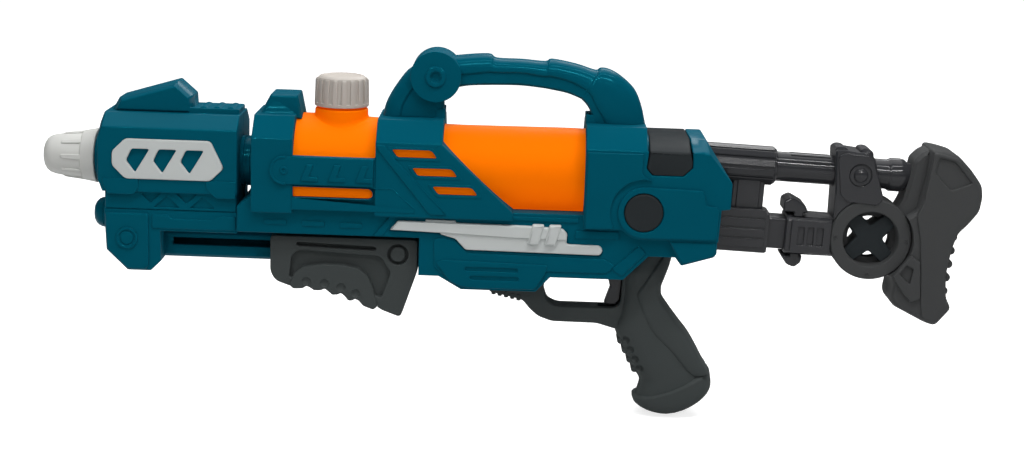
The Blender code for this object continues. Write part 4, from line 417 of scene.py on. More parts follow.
class Mould:
    """Closed shapes gathered for one piece."""

    def __init__(self, bm=None):
        self.bm = bm or bmesh.new()

    def rows(self, rings):
        return [[self.bm.verts.new(point) for point in ring] for ring in rings]

    def skin(self, near, far):
        for i in range(len(near)):
            j = (i + 1) % len(near)
            corners = list(dict.fromkeys((near[i], near[j], far[j], far[i])))
            if len(corners) > 2:
                self.bm.faces.new(corners)

    def walls(self, rings):
        rows = self.rows(rings)
        for near, far in zip(rows, rows[1:]):
            self.skin(near, far)
        return rows[0], rows[-1]

    def hoop(self, rings):
        """A skin over rings of points whose last ring meets the first."""
        rows = self.rows(rings)
        for near, far in zip(rows, rows[1:] + rows[:1]):
            self.skin(near, far)
        return self

    def loft(self, rings):
        """A skin over rings of points, closed at both ends."""
        for end in self.walls(rings):
            self.fill([end])
        return self

    def fill(self, loops):
        """A flat end over an outer loop of points and the holes in it."""
        edges = [self.bm.edges.get((loop[i], loop[i - 1])) for loop in loops for i in range(len(loop))]
        bmesh.ops.triangle_fill(self.bm, use_beauty=True, edges=edges)

    def plate(self, outline, base, face, rim=0.6, drawn=None, steps=3):
        """A plate that faces sideways, its edge rounded."""
        return self.stack(rim_levels(outline, base, face, rim, rim if drawn is None else drawn, steps))

    def stack(self, levels):
        """A skin over outlines, each at its own distance to the side."""
        return self.loft([across(y, level) for y, level in levels])

    def plates(self, outline, base, face, rim=0.6):
        """The same plate on both sides."""
        for side in SIDES:
            self.plate(outline, side * base, side * face, rim)
        return self

    def raised(self, outline, corner, half, rise, rim=0.6, steps=5):
        """A soft-cornered plate on both sides that stands up from a wall, its root sunk in the wall."""
        return self.plates(soften(outline, corner, steps), half - ROOT, half + rise, rim)

    def pierced(self, outline, holes, base, face, rim=0.5):
        """A plate with holes right through it."""
        ends = []
        for loop, drawn in [(outline, rim)] + [(hole, -rim) for hole in holes]:
            levels = rim_levels(loop, base, face, rim, drawn)
            ends.append(self.walls([across(y, level) for y, level in levels]))
        for loops in zip(*ends):
            self.fill(loops)
        return self

    def pierced_pair(self, outline, holes, base, face, rim):
        """The same plate with holes on both sides."""
        for side in SIDES:
            self.pierced(outline, holes, side * base, side * face, rim)
        return self

    def turned(self, profile, axis, centre, steps=48, looped=False):
        """A body turned about an axis from distances along it and radii."""
        rows = []
        for along, radius in profile:
            if radius == 0.0:
                rows.append([self.bm.verts.new(on_axis(axis, centre, along, 0.0, 0.0))] * steps)
                continue
            turns = [math.tau * i / steps for i in range(steps)]
            rows.append([self.bm.verts.new(on_axis(axis, centre, along, radius, turn)) for turn in turns])
        for near, far in zip(rows, rows[1:] + (rows[:1] if looped else [])):
            self.skin(near, far)
        return self

    def rod(self, start, end, radius, axis, centre, steps):
        """A plain round bar."""
        return self.turned([(start, 0), (start, radius), (end, radius), (end, 0)], axis, centre, steps)

    def knob(self, profile, side, centre, steps, looped=False):
        """A turned body that faces one side."""
        return self.turned([(side * y, radius) for y, radius in profile], "Y", centre, steps, looped)

    def bar(self, outline, levels):
        """A block that faces sideways, its outline drawn in at each level."""
        return self.stack([(y, inset(outline, drawn)) for y, drawn in levels])

    def slab(self, outline, half, edge=0.6):
        """A block right across the mid-plane, the edges of its two ends cut back."""
        return self.bar(outline, ((-half, edge), (edge - half, 0), (half - edge, 0), (half, edge)))

    def moved(self, matrix):
        self.bm.transform(matrix)
        return self

    def join(self, other):
        """Takes in the shapes of another mould."""
        mesh = to_mesh("joined", other.bm)
        self.bm.from_mesh(mesh)
        bpy.data.meshes.remove(mesh)
        return self


def on_axis(axis, centre, along, radius, turn):
    side = radius * math.cos(turn)
    lift = radius * math.sin(turn)
    if axis == "X":
        return (along, centre[0] + side, centre[1] + lift)
    if axis == "Y":
        return (centre[0] + side, along, centre[1] + lift)
    return (centre[0] + side, centre[1] + lift, along)


def swung(height, angle):
    """A turn about a line along x at a height."""
    turn = Matrix.Rotation(math.radians(angle), 4, "X")
    return Matrix.Translation((0, 0, height)) @ turn @ Matrix.Translation((0, 0, -height))


def to_mesh(name, bm):
    mesh = bpy.data.meshes.new(name)
    bm.to_mesh(mesh)
    bm.free()
    return mesh


def new_object(name, data):
    thing = bpy.data.objects.new(name, data)
    bpy.context.scene.collection.objects.link(thing)
    return thing


def trial_object(mould):
    """A throwaway object for a modifier to work on."""
    bmesh.ops.recalc_face_normals(mould.bm, faces=mould.bm.faces)
    return new_object("trial", to_mesh("trial", mould.bm))


def settled(trial):
    """The mesh that a throwaway object's modifiers give."""
    graph = bpy.context.evaluated_depsgraph_get()
    mesh = bpy.data.meshes.new_from_object(trial.evaluated_get(graph))
    bpy.data.objects.remove(trial, do_unlink=True)
    return mesh


def cut(mould, cutter):
    """The shape with another taken out of it."""
    whole = trial_object(mould)
    tool = trial_object(cutter)
    boolean = whole.modifiers.new("cut", "BOOLEAN")
    boolean.object = tool
    boolean.solver = "EXACT"
    mesh = settled(whole)
    bpy.data.objects.remove(tool, do_unlink=True)
    bm = bmesh.new()
    bm.from_mesh(mesh)
    bpy.data.meshes.remove(mesh)
    return Mould(bm)


def place_mesh(name, mesh, body, slot, finish, replaced):
    mesh.name = name
    mesh.materials.clear()
    mesh.materials.append(finish or SLOT_FINISH[slot])
    piece = new_object(name, mesh)
    mesh.shade_smooth()
    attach(piece, body)
    if replaced:
        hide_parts(*replaced)
    return piece


def shade_evenly(piece):
    """Flat faces shade flat, and the roundings between them smoothly."""
    even = piece.modifiers.new("even_shading", "WEIGHTED_NORMAL")
    even.keep_sharp = True


CREASE = 32.0


def add_piece(name, mould, body, slot, finish=None, replaced=(), crease=CREASE):
    """A finished shape becomes a piece that rides on a body."""
    mould.bm.transform(Matrix.Scale(MM, 4))
    bmesh.ops.recalc_face_normals(mould.bm, faces=mould.bm.faces)
    mesh = to_mesh(name, mould.bm)
    piece = place_mesh(name, mesh, body, slot, finish, replaced)
    mesh.set_sharp_from_angle(angle=math.radians(crease))
    shade_evenly(piece)
    return piece


def add_halves(name, draw, body, slot, finish=None, node=None, crease=CREASE):
    """A left and a right piece, each drawn by a function of its side and in place of its own node."""
    for side in SIDES:
        label = "_" + SIDE_NAME[side]
        add_piece(name + label, draw(side), body, slot, finish, (node + label,), crease)


SHARP_ANGLE = math.radians(28.0)
WELD = 0.00002


def merged(node):
    """A CAD node's faces, joined where they meet."""
    bm = bmesh.new()
    bm.from_mesh(frame["nodes"][node].data)
    bmesh.ops.remove_doubles(bm, verts=bm.verts, dist=WELD)
    return bm


def takes_rounding(edge, width):
    """Whether an outer edge is sharp and both of its faces are wide enough for a rounding."""
    if len(edge.link_faces) != 2 or not edge.is_convex or edge.calc_face_angle() < SHARP_ANGLE:
        return False
    return min(face.calc_area() for face in edge.link_faces) > edge.calc_length() * width * 2


def moulded(node, width, finish=None):
    """A CAD node shown with rounded edges."""
    bm = merged(node)
    bmesh.ops.dissolve_limit(bm, angle_limit=math.radians(1.0), verts=bm.verts, edges=bm.edges)
    weight = bm.edges.layers.float.new("bevel_weight_edge")
    for edge in bm.edges:
        edge[weight] = float(takes_rounding(edge, width * MM))
        edge.smooth = edge[weight] > 0.0 or edge.calc_face_angle(0.0) < SHARP_ANGLE
    wide = [face for face in bm.faces if len(face.verts) > 4]
    bmesh.ops.triangulate(bm, faces=wide, ngon_method="BEAUTY")
    mesh = to_mesh(node, bm)
    piece = place_mesh(node + "_moulding", mesh, NODE_BODY[node], NODE_SLOT[node], finish, (node,))
    bevel = piece.modifiers.new("moulded_edges", "BEVEL")
    bevel.limit_method = "WEIGHT"
    bevel.width = width * MM
    bevel.segments = 3
    bevel.use_clamp_overlap = False
    bevel.miter_outer = "MITER_ARC"
    shade_evenly(piece)
    return piece


# Rows of copies, by Geometry Nodes


def new_tree(name, inputs):
    """An empty tree with named inputs, and a function that adds a node and gives its first output."""
    tree = bpy.data.node_groups.new(name, "GeometryNodeTree")
    tree.interface.new_socket("Shape", in_out="INPUT", socket_type="NodeSocketGeometry")
    for label, kind in inputs.items():
        tree.interface.new_socket(label, in_out="INPUT", socket_type="NodeSocket" + kind)
    tree.interface.new_socket("Copies", in_out="OUTPUT", socket_type="NodeSocketGeometry")

    def add(kind, settings=None, links=None):
        node = add_node(tree, kind, settings, links)
        return node.outputs[0] if node.outputs else None

    return tree, add


def close_tree(add, instances, material):
    """Every tree ends with real geometry and its finish."""
    real = add("GeometryNodeRealizeInstances", links={"Geometry": instances})
    dressed = add("GeometryNodeSetMaterial", links={"Geometry": real, "Material": material})
    add("NodeGroupOutput", links={"Copies": dressed})


def row_tree():
    """Copies of a shape, each turned about a pivot and stepped on from the one before."""
    tree, add = new_tree("row_of_copies", {
        "Count": "Int", "Step": "Vector", "Axis": "Vector", "Turn": "Float", "Pivot": "Vector",
        "Finish": "Material",
    })
    given = add("NodeGroupInput").node.outputs
    index = add("GeometryNodeInputIndex")
    points = add("GeometryNodePoints", links={"Count": given["Count"]})
    copies = add("GeometryNodeInstanceOnPoints", links={"Points": points, "Instance": given["Shape"]})
    angle = add("ShaderNodeMath", {"operation": "MULTIPLY"}, {0: index, 1: given["Turn"]})
    spin = add("FunctionNodeAxisAngleToRotation", links={"Axis": given["Axis"], "Angle": angle})
    turned = add("GeometryNodeRotateInstances", links={
        "Instances": copies, "Rotation": spin, "Pivot Point": given["Pivot"], "Local Space": False,
    })
    stride = add("ShaderNodeVectorMath", {"operation": "SCALE"}, {"Vector": given["Step"], "Scale": index})
    stepped = add("GeometryNodeTranslateInstances", links={
        "Instances": turned, "Translation": stride, "Local Space": False,
    })
    close_tree(add, stepped, given["Finish"])
    return tree


def screw_tree():
    """Pan heads with a cross recess, one on each point, facing the right side."""
    tree, add = new_tree("screw_heads", {
        "Head Radius": "Float", "Head Height": "Float", "Slot Width": "Float", "Slot Depth": "Float",
        "Finish": "Material",
    })
    given = add("NodeGroupInput").node.outputs

    def triple(x, y, z):
        return add("ShaderNodeCombineXYZ", links={"X": x, "Y": y, "Z": z})

    def share(value, part):
        return add("ShaderNodeMath", {"operation": "MULTIPLY"}, {0: value, 1: part})

    radius, height, slot = given["Head Radius"], given["Head Height"], given["Slot Width"]
    head = add("GeometryNodeMeshCone", links={
        "Vertices": 28, "Side Segments": 3, "Radius Top": share(radius, 0.78), "Radius Bottom": radius,
        "Depth": height,
    })
    arm = share(radius, 1.15)
    deep = share(given["Slot Depth"], 2.0)
    cross = add("GeometryNodeMeshBoolean", {"operation": "UNION"})
    for size in (triple(arm, slot, deep), triple(slot, arm, deep)):
        tree.links.new(add("GeometryNodeMeshCube", links={"Size": size}), cross.node.inputs["Mesh 2"])
    raised = add("GeometryNodeTransform", links={"Geometry": cross, "Translation": triple(0.0, 0.0, height)})
    slotted = add("GeometryNodeMeshBoolean", {"operation": "DIFFERENCE"}, {"Mesh 1": head, "Mesh 2": raised})
    facing = add("GeometryNodeTransform", links={
        "Geometry": slotted, "Rotation": (math.radians(-90.0), 0.0, 0.0),
    })
    copies = add("GeometryNodeInstanceOnPoints", links={"Points": given["Shape"], "Instance": facing})
    close_tree(add, copies, given["Finish"])
    return tree


ROW_TREE = row_tree()
SCREW_TREE = screw_tree()


def grown(tree, mould, values):
    """The plain mesh that a tree makes of a shape."""
    mould.bm.transform(Matrix.Scale(MM, 4))
    trial = trial_object(mould)
    modifier = trial.modifiers.new("grown", "NODES")
    modifier.node_group = tree
    keys = {item.name: item.identifier for item in tree.interface.items_tree if item.in_out == "INPUT"}
    for label, value in values.items():
        modifier[keys[label]] = value
    return settled(trial)


def add_row(
    name, mould, body, slot, count, step=(0, 0, 0), axis=(0, 0, 1), turn=0.0, pivot=(0, 0, 0), finish=None,
):
    """A row or ring of copies of one shape, as one piece."""
    mesh = grown(ROW_TREE, mould, {
        "Count": count,
        "Step": [value * MM for value in step],
        "Axis": [float(value) for value in axis],
        "Turn": math.radians(turn),
        "Pivot": [value * MM for value in pivot],
        "Finish": finish or SLOT_FINISH[slot],
    })
    piece = place_mesh(name, mesh, body, slot, finish, ())
    mesh.set_sharp_from_angle(angle=math.radians(CREASE))
    shade_evenly(piece)
    return piece


# Tank, cap and neck

AXIS_Z = 113.0
AXIS = (0.0, AXIS_Z)
NECK_X = -229.6
NECK = (NECK_X, 0.0)
MOUTH_R = 13.2
THREAD_R = 15.2
THREAD_PITCH = 4.53
THREAD_TURNS = 3
THREAD_STEPS = 36
THREAD_FADE = 8
THREAD_Z = 155.5
TANK_PROFILE = [
    (-282, 12), (-281, 21.6), (-276, 29.6), (-268, 33.8), (-254, 34.8), (-229.6, 34), (-203, 33),
    (-158, 30.2), (-110, 30.2), (-61, 30.2), (-52, 27), (-45, 16.6),
]
TANK_ENDS = (-283.0, -44.0)
NECK_FOOT = [(20, -0.8), (19.2, -0.1), (18.7, 0.6), (18.4, 1.6), (18.3, 3)]
NECK_COLLAR = [
    (151.2, 18.3), (152, 18), (152.5, 17.4), (152.7, THREAD_R), (169.6, THREAD_R), (170.5, 14.6),
    (170.5, MOUTH_R), (140, MOUTH_R),
]
MOUTH_TOP = 190.0
CAP_RIBS = 18
CAP_PROFILE = [
    (154, 16.4), (154, 18.3), (154.4, 18.7), (156.2, 18.7), (156.7, 17.3), (171.6, 16.9), (173.4, 16.5),
    (174.6, 15.2), (175, 13.6), (175, 12.9), (174.5, 12.2), (174.6, 0), (172.6, 0), (172.6, 16.4),
]
CAP_RIB_LEVELS = [(155.6, 0, 1.8), (171.6, 0.4, 1.6), (173, 1.2, 1.4)]
CAP_RIB_FOOT = 16.6
CAP_RIB_TOP = 18.7


def thread_ridge(mould):
    """A rounded ridge that climbs the neck."""
    last = THREAD_STEPS * THREAD_TURNS
    rings = []
    for i in range(last + 1):
        turn = math.tau * i / THREAD_STEPS
        z = THREAD_Z + THREAD_PITCH * i / THREAD_STEPS
        ends = min(1.0, i / THREAD_FADE, (last - i) / THREAD_FADE)
        out = THREAD_R + 1.1 * max(ends, 0.05)
        section = [(THREAD_R - 0.6, -0.9), (out, -0.45), (out, 0.45), (THREAD_R - 0.6, 0.9)]
        rings.append([on_axis("Z", NECK, z + lift, radius, turn) for radius, lift in section])
    mould.loft(rings)


def tank_radius(x):
    """The tank wall's radius at a place along it."""
    for (x0, r0), (x1, r1) in zip(TANK_PROFILE, TANK_PROFILE[1:]):
        if x0 <= x <= x1:
            return r0 + (r1 - r0) * (x - x0) / (x1 - x0)
    return TANK_PROFILE[-1][1]


def neck_ring(radius, lift=None, z=None, steps=56):
    """A ring round the neck, level or at a height above the tank's round wall."""
    ring = []
    for i in range(steps):
        turn = math.tau * i / steps
        x, y = NECK_X + radius * math.cos(turn), radius * math.sin(turn)
        wall = AXIS_Z + math.sqrt(tank_radius(x) ** 2 - y ** 2)
        ring.append((x, y, wall + lift if z is None else z))
    return ring


def make_tank():
    front, rear = [(x, 0.0) for x in TANK_ENDS]
    body = Mould().turned([front] + flow(TANK_PROFILE, 4) + [rear], "X", AXIS, 72)
    body = cut(body, Mould().rod(AXIS_Z, MOUTH_TOP, MOUTH_R, "Z", NECK, 40))
    foot = [neck_ring(radius, lift) for radius, lift in NECK_FOOT]
    body.hoop(foot + [neck_ring(radius, z=z) for z, radius in NECK_COLLAR])
    thread_ridge(body)
    add_piece("tank_wall", body, "frame", "tank_orange", replaced=("tank",))


def tank_cheeks():
    """The tank's wall where it bulges into the windows of the housing."""
    window = Mould().plates(inset(bridge_gap(), 0.3), WINDOW_ROOT, CHEEK_FACE, 0.8)
    add_piece("window_cheek", window, "frame", "tank_orange")
    slot = Mould().plates(soften(inset(SLOT_EDGE, 0.4), 1.6), SLOT_ROOT, CHEEK_FACE)
    add_row("slot_cheeks", slot, "frame", "tank_orange", 3, step=SLOT_STEP)


def rib_section(foot, top, half, chamfer):
    """A rib's section as distances out and across, its outer corners cut."""
    flat = half - 0.5
    shoulder = top - chamfer
    return [(foot, -half), (shoulder, -half), (top, -flat), (top, flat), (shoulder, half), (foot, half)]


def make_cap():
    shell = Mould().turned(CAP_PROFILE, "Z", NECK, 80, looped=True)
    add_piece("cap_shell", shell, "cap", "pale", CREAM_FINISH, ("tank_cap",))
    foot, top = NECK_X + CAP_RIB_FOOT, NECK_X + CAP_RIB_TOP
    rib = Mould().loft([
        [(x, y, z) for x, y in rib_section(foot - drop, top - drop, half, 0.35)]
        for z, drop, half in CAP_RIB_LEVELS
    ])
    turn = 360.0 / CAP_RIBS
    add_row("cap_ribs", rib, "cap", "pale", CAP_RIBS, turn=turn, pivot=(NECK_X, 0, 0), finish=CREAM_FINISH)


# Nozzle, barrel and plug

NOZZLE_BASE = -397.8
NOZZLE_RIBS = 9
NOZZLE_PROFILE = [
    (0, 14.9), (0, 18.5), (0.6, 18.9), (9.4, 17.3), (10.1, 16.6), (10.6, 15.9), (23, 14.9), (30, 13.7),
    (33, 12.6), (35, 11), (36.3, 9), (37, 7), (37, 5.6), (36.2, 4.8), (35.6, 2.2), (27, 2.2), (25, 11),
    (6.6, 11), (6.6, 14.9),
]
NOZZLE_RIB_LEVELS = [
    (9.8, 17.25, 1.9), (10.6, 17.1, 1.8), (22.2, 15.75, 1.5), (23.4, 15.3, 1.3), (24.2, 14.5, 1.2),
]
NOZZLE_RIB_FOOT = AXIS_Z + 13.0
NOZZLE_RIB_START = 6.0
BARREL_PROFILE = [
    (-284.6, 0), (-284.6, 17.4), (-289, 17.4), (-289.3, 16.6), (-290.6, 16.6), (-290.9, 17.4),
    (-293.6, 17.4), (-293.9, 16.6), (-295.2, 16.6), (-295.5, 17.4), (-396.9, 17.4), (-397.4, 16.9),
    (-397.5, 14.6), (-403.1, 14.6), (-403.5, 14.2), (-403.5, 11), (-290, 11), (-290, 0),
]
PLUG_Z = 73.0
PLUG_PROFILE = [
    (-380.3, 0), (-380.3, 7), (-389.3, 7), (-389.3, 10.6), (-390.2, 10.8), (-392.6, 10.8), (-393, 10.3),
    (-393.5, 10.3), (-393.9, 10.6), (-395.6, 10.3), (-397.6, 9.4), (-399.2, 7.9), (-400.3, 6),
    (-400.8, 3.6), (-400.9, 0),
]


def make_nozzle():
    profile = [(NOZZLE_BASE - along, radius) for along, radius in NOZZLE_PROFILE]
    cone = Mould().turned(profile, "X", AXIS, 72, looped=True)
    add_piece("nozzle_shell", cone, "nozzle_cone", "pale", MILK_FINISH, ("nozzle",))
    rib = Mould().loft([
        [(NOZZLE_BASE - along, y, z) for z, y in rib_section(NOZZLE_RIB_FOOT, AXIS_Z + top, half, 0.4)]
        for along, top, half in NOZZLE_RIB_LEVELS
    ])
    rib.moved(swung(AXIS_Z, NOZZLE_RIB_START))
    add_row(
        "nozzle_ribs", rib, "nozzle_cone", "pale", NOZZLE_RIBS,
        axis=(1, 0, 0), turn=360.0 / NOZZLE_RIBS, pivot=(0, 0, AXIS_Z), finish=MILK_FINISH,
    )


def make_barrel():
    tube = Mould().turned(BARREL_PROFILE, "X", AXIS, 64)
    add_piece("barrel_tube", tube, "frame", "teal", replaced=("barrel",))


def make_plug():
    dome = Mould().turned(PLUG_PROFILE, "X", (0.0, PLUG_Z), 48)
    add_piece("plug_dome", dome, "frame", "teal", replaced=("front_plug",))


# Front shroud

PLATE = [
    (-373.5, 130.5), (-382.5, 121.5), (-382.5, 112), (-373.5, 103), (-315.5, 103), (-306.5, 112),
    (-315.5, 130.5),
]
WINDOW = [(-369, 123.8), (-356.8, 123.8), (-366.8, 107.2), (-373, 115.5)]
WINDOW_STEP = 18.5
PLATE_ROOT = 29.1
FRONT_HALF = 30.0
TRUSS_HALF = 26.0
BEAM_HALF = 27.5
TRUSS_BAND = rectangle(-388.0, -298.6, 81.5, 96.0)
TRUSS_DOWN = [(-364, 93), (-350, 93), (-357, 86)]
TRUSS_UP = [(-345.8, 91), (-337.4, 83.2), (-354.6, 83.2)]
TRUSS_STEP = 24.6
SKIRT_FRONT = [(-389.4, 103), (-389.4, 99.5), (-385.6, 92), (-368, 92), (-364.6, 96.2), (-364.6, 103)]
SKIRT_REAR = [(-318.7, 103), (-318.7, 97.9), (-312, 91), (-298.4, 91), (-298.4, 103)]
BLOCK_FACE = [(-388, 78.8), (-386.7, 53.2), (-372.6, 39.6), (-360, 39.6), (-358.2, 42), (-358.2, 78.8)]
BEAM_LOW = [
    (-356, 78.2), (-345.5, 78.2), (-342.5, 75.6), (-314, 75.6), (-311, 78.2), (-298.5, 78.2),
    (-298.5, 68.4), (-356, 68.4),
]
BLOCK_BOSS = (-372.8, 61.5)
BOSS_FACE = BEAM_HALF + 3.4
BOSS_PROFILE = [
    (BEAM_HALF - ROOT, 0), (BEAM_HALF - ROOT, 7.6), (BOSS_FACE - 0.5, 7.6), (BOSS_FACE - 0.15, 7.4),
    (BOSS_FACE, 7), (BOSS_FACE, 6.1), (BOSS_FACE - 0.4, 5.6), (BOSS_FACE - 0.9, 5.3),
    (BOSS_FACE - 0.9, 4.7), (BOSS_FACE - 0.5, 4.4), (BOSS_FACE - 0.1, 4), (BOSS_FACE - 0.1, 0),
]
FIN_HALF = 12.4
FIN_STEP = (9.3, 0.0, 0.0)
FIN_BUMP = [(-327, 148.6), (-325.4, 151), (-323.2, 151.6), (-321, 151), (-319.4, 148.6)]


def window_plate(side):
    windows = [soften(shifted(WINDOW, WINDOW_STEP * i), 1.6, 4) for i in range(3)]
    return Mould().pierced(soften(PLATE, 2.6), windows, side * PLATE_ROOT, side * (FRONT_HALF + 1.4), 0.7)


def front_relief():
    relief = Mould()
    gaps = [soften(shifted(gap, TRUSS_STEP * i), 0.9, 3) for i in range(2) for gap in (TRUSS_DOWN, TRUSS_UP)]
    relief.pierced_pair(TRUSS_BAND, gaps, TRUSS_HALF - 0.6, TRUSS_HALF + 1.3, 0.45)
    for side in SIDES:
        relief.knob(BOSS_PROFILE, side, BLOCK_BOSS, 40)
    relief.raised(SKIRT_FRONT, 1.2, FRONT_HALF, 0.8)
    relief.raised(SKIRT_REAR, 1.2, FRONT_HALF, 0.8)
    relief.raised(BLOCK_FACE, 2.0, BEAM_HALF, 2.2, 1.2)
    relief.raised(BEAM_LOW, 1.2, BEAM_HALF, 0.8)
    add_piece("front_relief", relief, "frame", "teal")
    bump = Mould().slab(soften(FIN_BUMP, 1.2, 3), FIN_HALF, 0.8)
    add_row("fin_bumps", bump, "frame", "teal", 3, step=FIN_STEP)


# Collar, bridge and middle housing

BODY_HALF = 38.0
CHEEK_FACE = BODY_HALF - 2.2
WINDOW_ROOT = 27.0
SLOT_ROOT = 25.0
TONGUE_FACE = BODY_HALF + 1.5
TONGUE_END = (-264.4, 114.0)
TONGUE_R = 9.6
PIN_FACE = TONGUE_FACE + 0.8
TONGUE_PIN = [
    (BODY_HALF, 0), (BODY_HALF, 2.7), (PIN_FACE - 0.3, 2.7), (PIN_FACE, 2.4), (PIN_FACE, 1.5),
    (PIN_FACE - 0.5, 1.1), (PIN_FACE - 0.5, 0),
]
BRIDGE_PLATE = [
    (-259.4, 87), (-175.7, 87), (-175.7, 90.2), (-190.9, 103.6), (-203.2, 103.6), (-203.2, 123.6),
    (-259.4, 124),
]
BRIDGE_ROOT = BODY_HALF - 2.6
GAP_FRONT = [(-258.6, 102.8), (-258.6, 95.6)]
GAP_END = (-208.0, 99.2)
GAP_END_R = 3.6
TONGUE_TAIL = [(-204, 104.4), (-204, 123.6)]
RIDGE = [
    (-249, 118.7), (-244.4, 118.7), (-247.4, 110.2), (-241.4, 110.2), (-241.4, 107.2), (-253.4, 107.2),
]
RIDGE_STEP = (18.5, 0.0, 0.0)
SLOT_EDGE = [(-193, 131), (-165, 131), (-160.5, 124.8), (-188.5, 124.8)]
SLOT_STEP = (14.0, 0.0, -12.3)
STRAP = [(-202.4, 133.6), (-196.5, 133.6), (-189, 123.5), (-153.4, 86.5), (-165.6, 86.5), (-202.4, 131)]


def bridge_gap():
    """The tank's lower window: square at the collar, round at the rear."""
    return GAP_FRONT + arc(GAP_END, GAP_END_R, -90.0, 90.0, 10)


def tongue():
    """The bridge's raised band, with its round end on the collar."""
    return arc(TONGUE_END, TONGUE_R, 90.0, 270.0, 20) + TONGUE_TAIL


def collar_relief():
    relief = Mould().pierced_pair(BRIDGE_PLATE, [bridge_gap()], BRIDGE_ROOT, BODY_HALF + 0.3, 0.4)
    for side in SIDES:
        relief.knob(TONGUE_PIN, side, TONGUE_END, 28)
    relief.plates(tongue(), BRIDGE_ROOT, TONGUE_FACE, 0.7)
    rim = arc(TONGUE_END, TONGUE_R + 0.3, 84.0, 276.0, 20) + arc(TONGUE_END, TONGUE_R - 1.3, 276.0, 84.0, 20)
    relief.plates(rim, BODY_HALF, TONGUE_FACE + 0.5, 0.4)
    add_piece("collar_relief", relief, "frame", "teal")
    ridge = Mould().plates(soften(RIDGE, 0.7, 3), BODY_HALF - ROOT, TONGUE_FACE + 1.0, 0.5)
    add_row("bridge_ridges", ridge, "frame", "teal", 3, step=RIDGE_STEP)


def mid_relief():
    relief = Mould().raised(STRAP, 1.4, BODY_HALF, 1.0, 0.8)
    add_piece("middle_relief", relief, "frame", "teal")
    edge, hole = soften(inset(SLOT_EDGE, -1.5), 2.6), soften(inset(SLOT_EDGE, 0.3), 2.6)
    border = Mould().pierced_pair(edge, [hole], BODY_HALF - 1.8, BODY_HALF + 0.4, 0.35)
    add_row("slot_borders", border, "frame", "teal", 3, step=SLOT_STEP)


# Lower hull

HULL_HALF = 33.0
STRIP_PAD = rectangle(-278.3, -262.9, 75.2, 78.8)
STRIP_STEP = (25.8, 0.0, -0.4)
LOW_PANEL = [
    (-160.8, 52.6), (-155.9, 54.8), (-84, 53.4), (-85.4, 47.4), (-92.3, 35.9), (-134.1, 35.5),
    (-142.5, 36.4), (-151, 40.1),
]
HULL_FACE = [
    (-162.8, 68.6), (-161.4, 48.4), (-150, 40.8), (-92.6, 37.2), (-85, 48.8), (-43.4, 48.8),
    (-37.6, 54.6), (-45.6, 58.8), (-139.4, 60), (-147, 67.4), (-157, 70.2),
]
GROOVE_UPPER = slot_hole(-140.7, -104.4, 47.6, 50.3)
GROOVE_LOWER = slot_hole(-137.2, -103.6, 41.4, 44.1)
SILL_PANEL = rectangle(-66.2, -36.0, 72.6, 78.4)
CHEEK = [(-40.5, 51.5), (-37, 55), (-22, 69.6), (-17, 64), (-33, 47)]
SHELF = [
    (-204.5, 69.6), (-190.5, 86.6), (-64, 86.6), (-64, 83.4), (-146, 84.2), (-169.5, 84.2),
    (-188.2, 82.6), (-194.6, 73.8), (-197.5, 69.6),
]
UPPER_BAR = [
    (-192.4, 74.6), (-187, 81.1), (-100, 80.5), (-74.6, 79.3), (-71.4, 75.8), (-71.6, 71.4), (-110, 71.8),
    (-150, 73.4),
]
LOWER_BAR = [(-71.6, 68.5), (-71.6, 75), (-156, 76.6), (-158.6, 72.6), (-147.6, 69.6), (-140.6, 62.2)]
LOWER_END = (-50.6, 64.9)
LOWER_END_R = 3.5
TRIM_ROOT = HULL_HALF - 0.7
BAR_TAB = [(-168.7, 79), (-168.2, 82.6), (-147.7, 82.4), (-147.1, 79)]
BAND = [(-95.4, 81.8), (-87.2, 81.8), (-91, 67.8), (-98.6, 67.8)]
BAND_STEP = (11.7, 0.0, 0.0)


def hull_relief():
    grooves = [GROOVE_UPPER, GROOVE_LOWER]
    relief = Mould().pierced_pair(soften(LOW_PANEL, 2.0), grooves, HULL_HALF - 0.8, HULL_HALF + 2.0, 0.7)
    relief.raised(HULL_FACE, 1.6, HULL_HALF, 0.9)
    relief.raised(SILL_PANEL, 1.0, HULL_HALF, 0.9)
    relief.raised(CHEEK, 1.4, HULL_HALF, 1.0, 0.8)
    relief.raised(SHELF, 0.9, HULL_HALF, 1.0, steps=3)
    add_piece("hull_relief", relief, "frame", "teal")
    pad = Mould().raised(STRIP_PAD, 0.9, HULL_HALF, 0.8, 0.5, 3)
    add_row("strip_pads", pad, "frame", "teal", 3, step=STRIP_STEP)


def trim_bars(side):
    """Three layers of light trim; the longest has a round end."""
    long = LOWER_BAR + arc(LOWER_END, LOWER_END_R, -90.0, 90.0, 10)
    layers = ((long, 1.6, 1.8, 1.6, 1.0), (UPPER_BAR, 1.0, 3.0, 1.9, 0.8), (BAR_TAB, 0.8, 1.4, 0.6, 0.6))
    trim = Mould()
    for outline, corner, rise, rim, drawn in layers:
        trim.plate(soften(outline, corner), side * TRIM_ROOT, side * (HULL_HALF + rise), rim, drawn)
    return trim


def make_trims():
    add_halves("trim_bars", trim_bars, "frame", "pale", node="side_trim")
    band = Mould().plates(soften(BAND, 1.3), TRIM_ROOT, HULL_HALF + 4.4, 1.4)
    add_row("trim_bands", band, "frame", "pale", 2, step=BAND_STEP)


# Rear housing

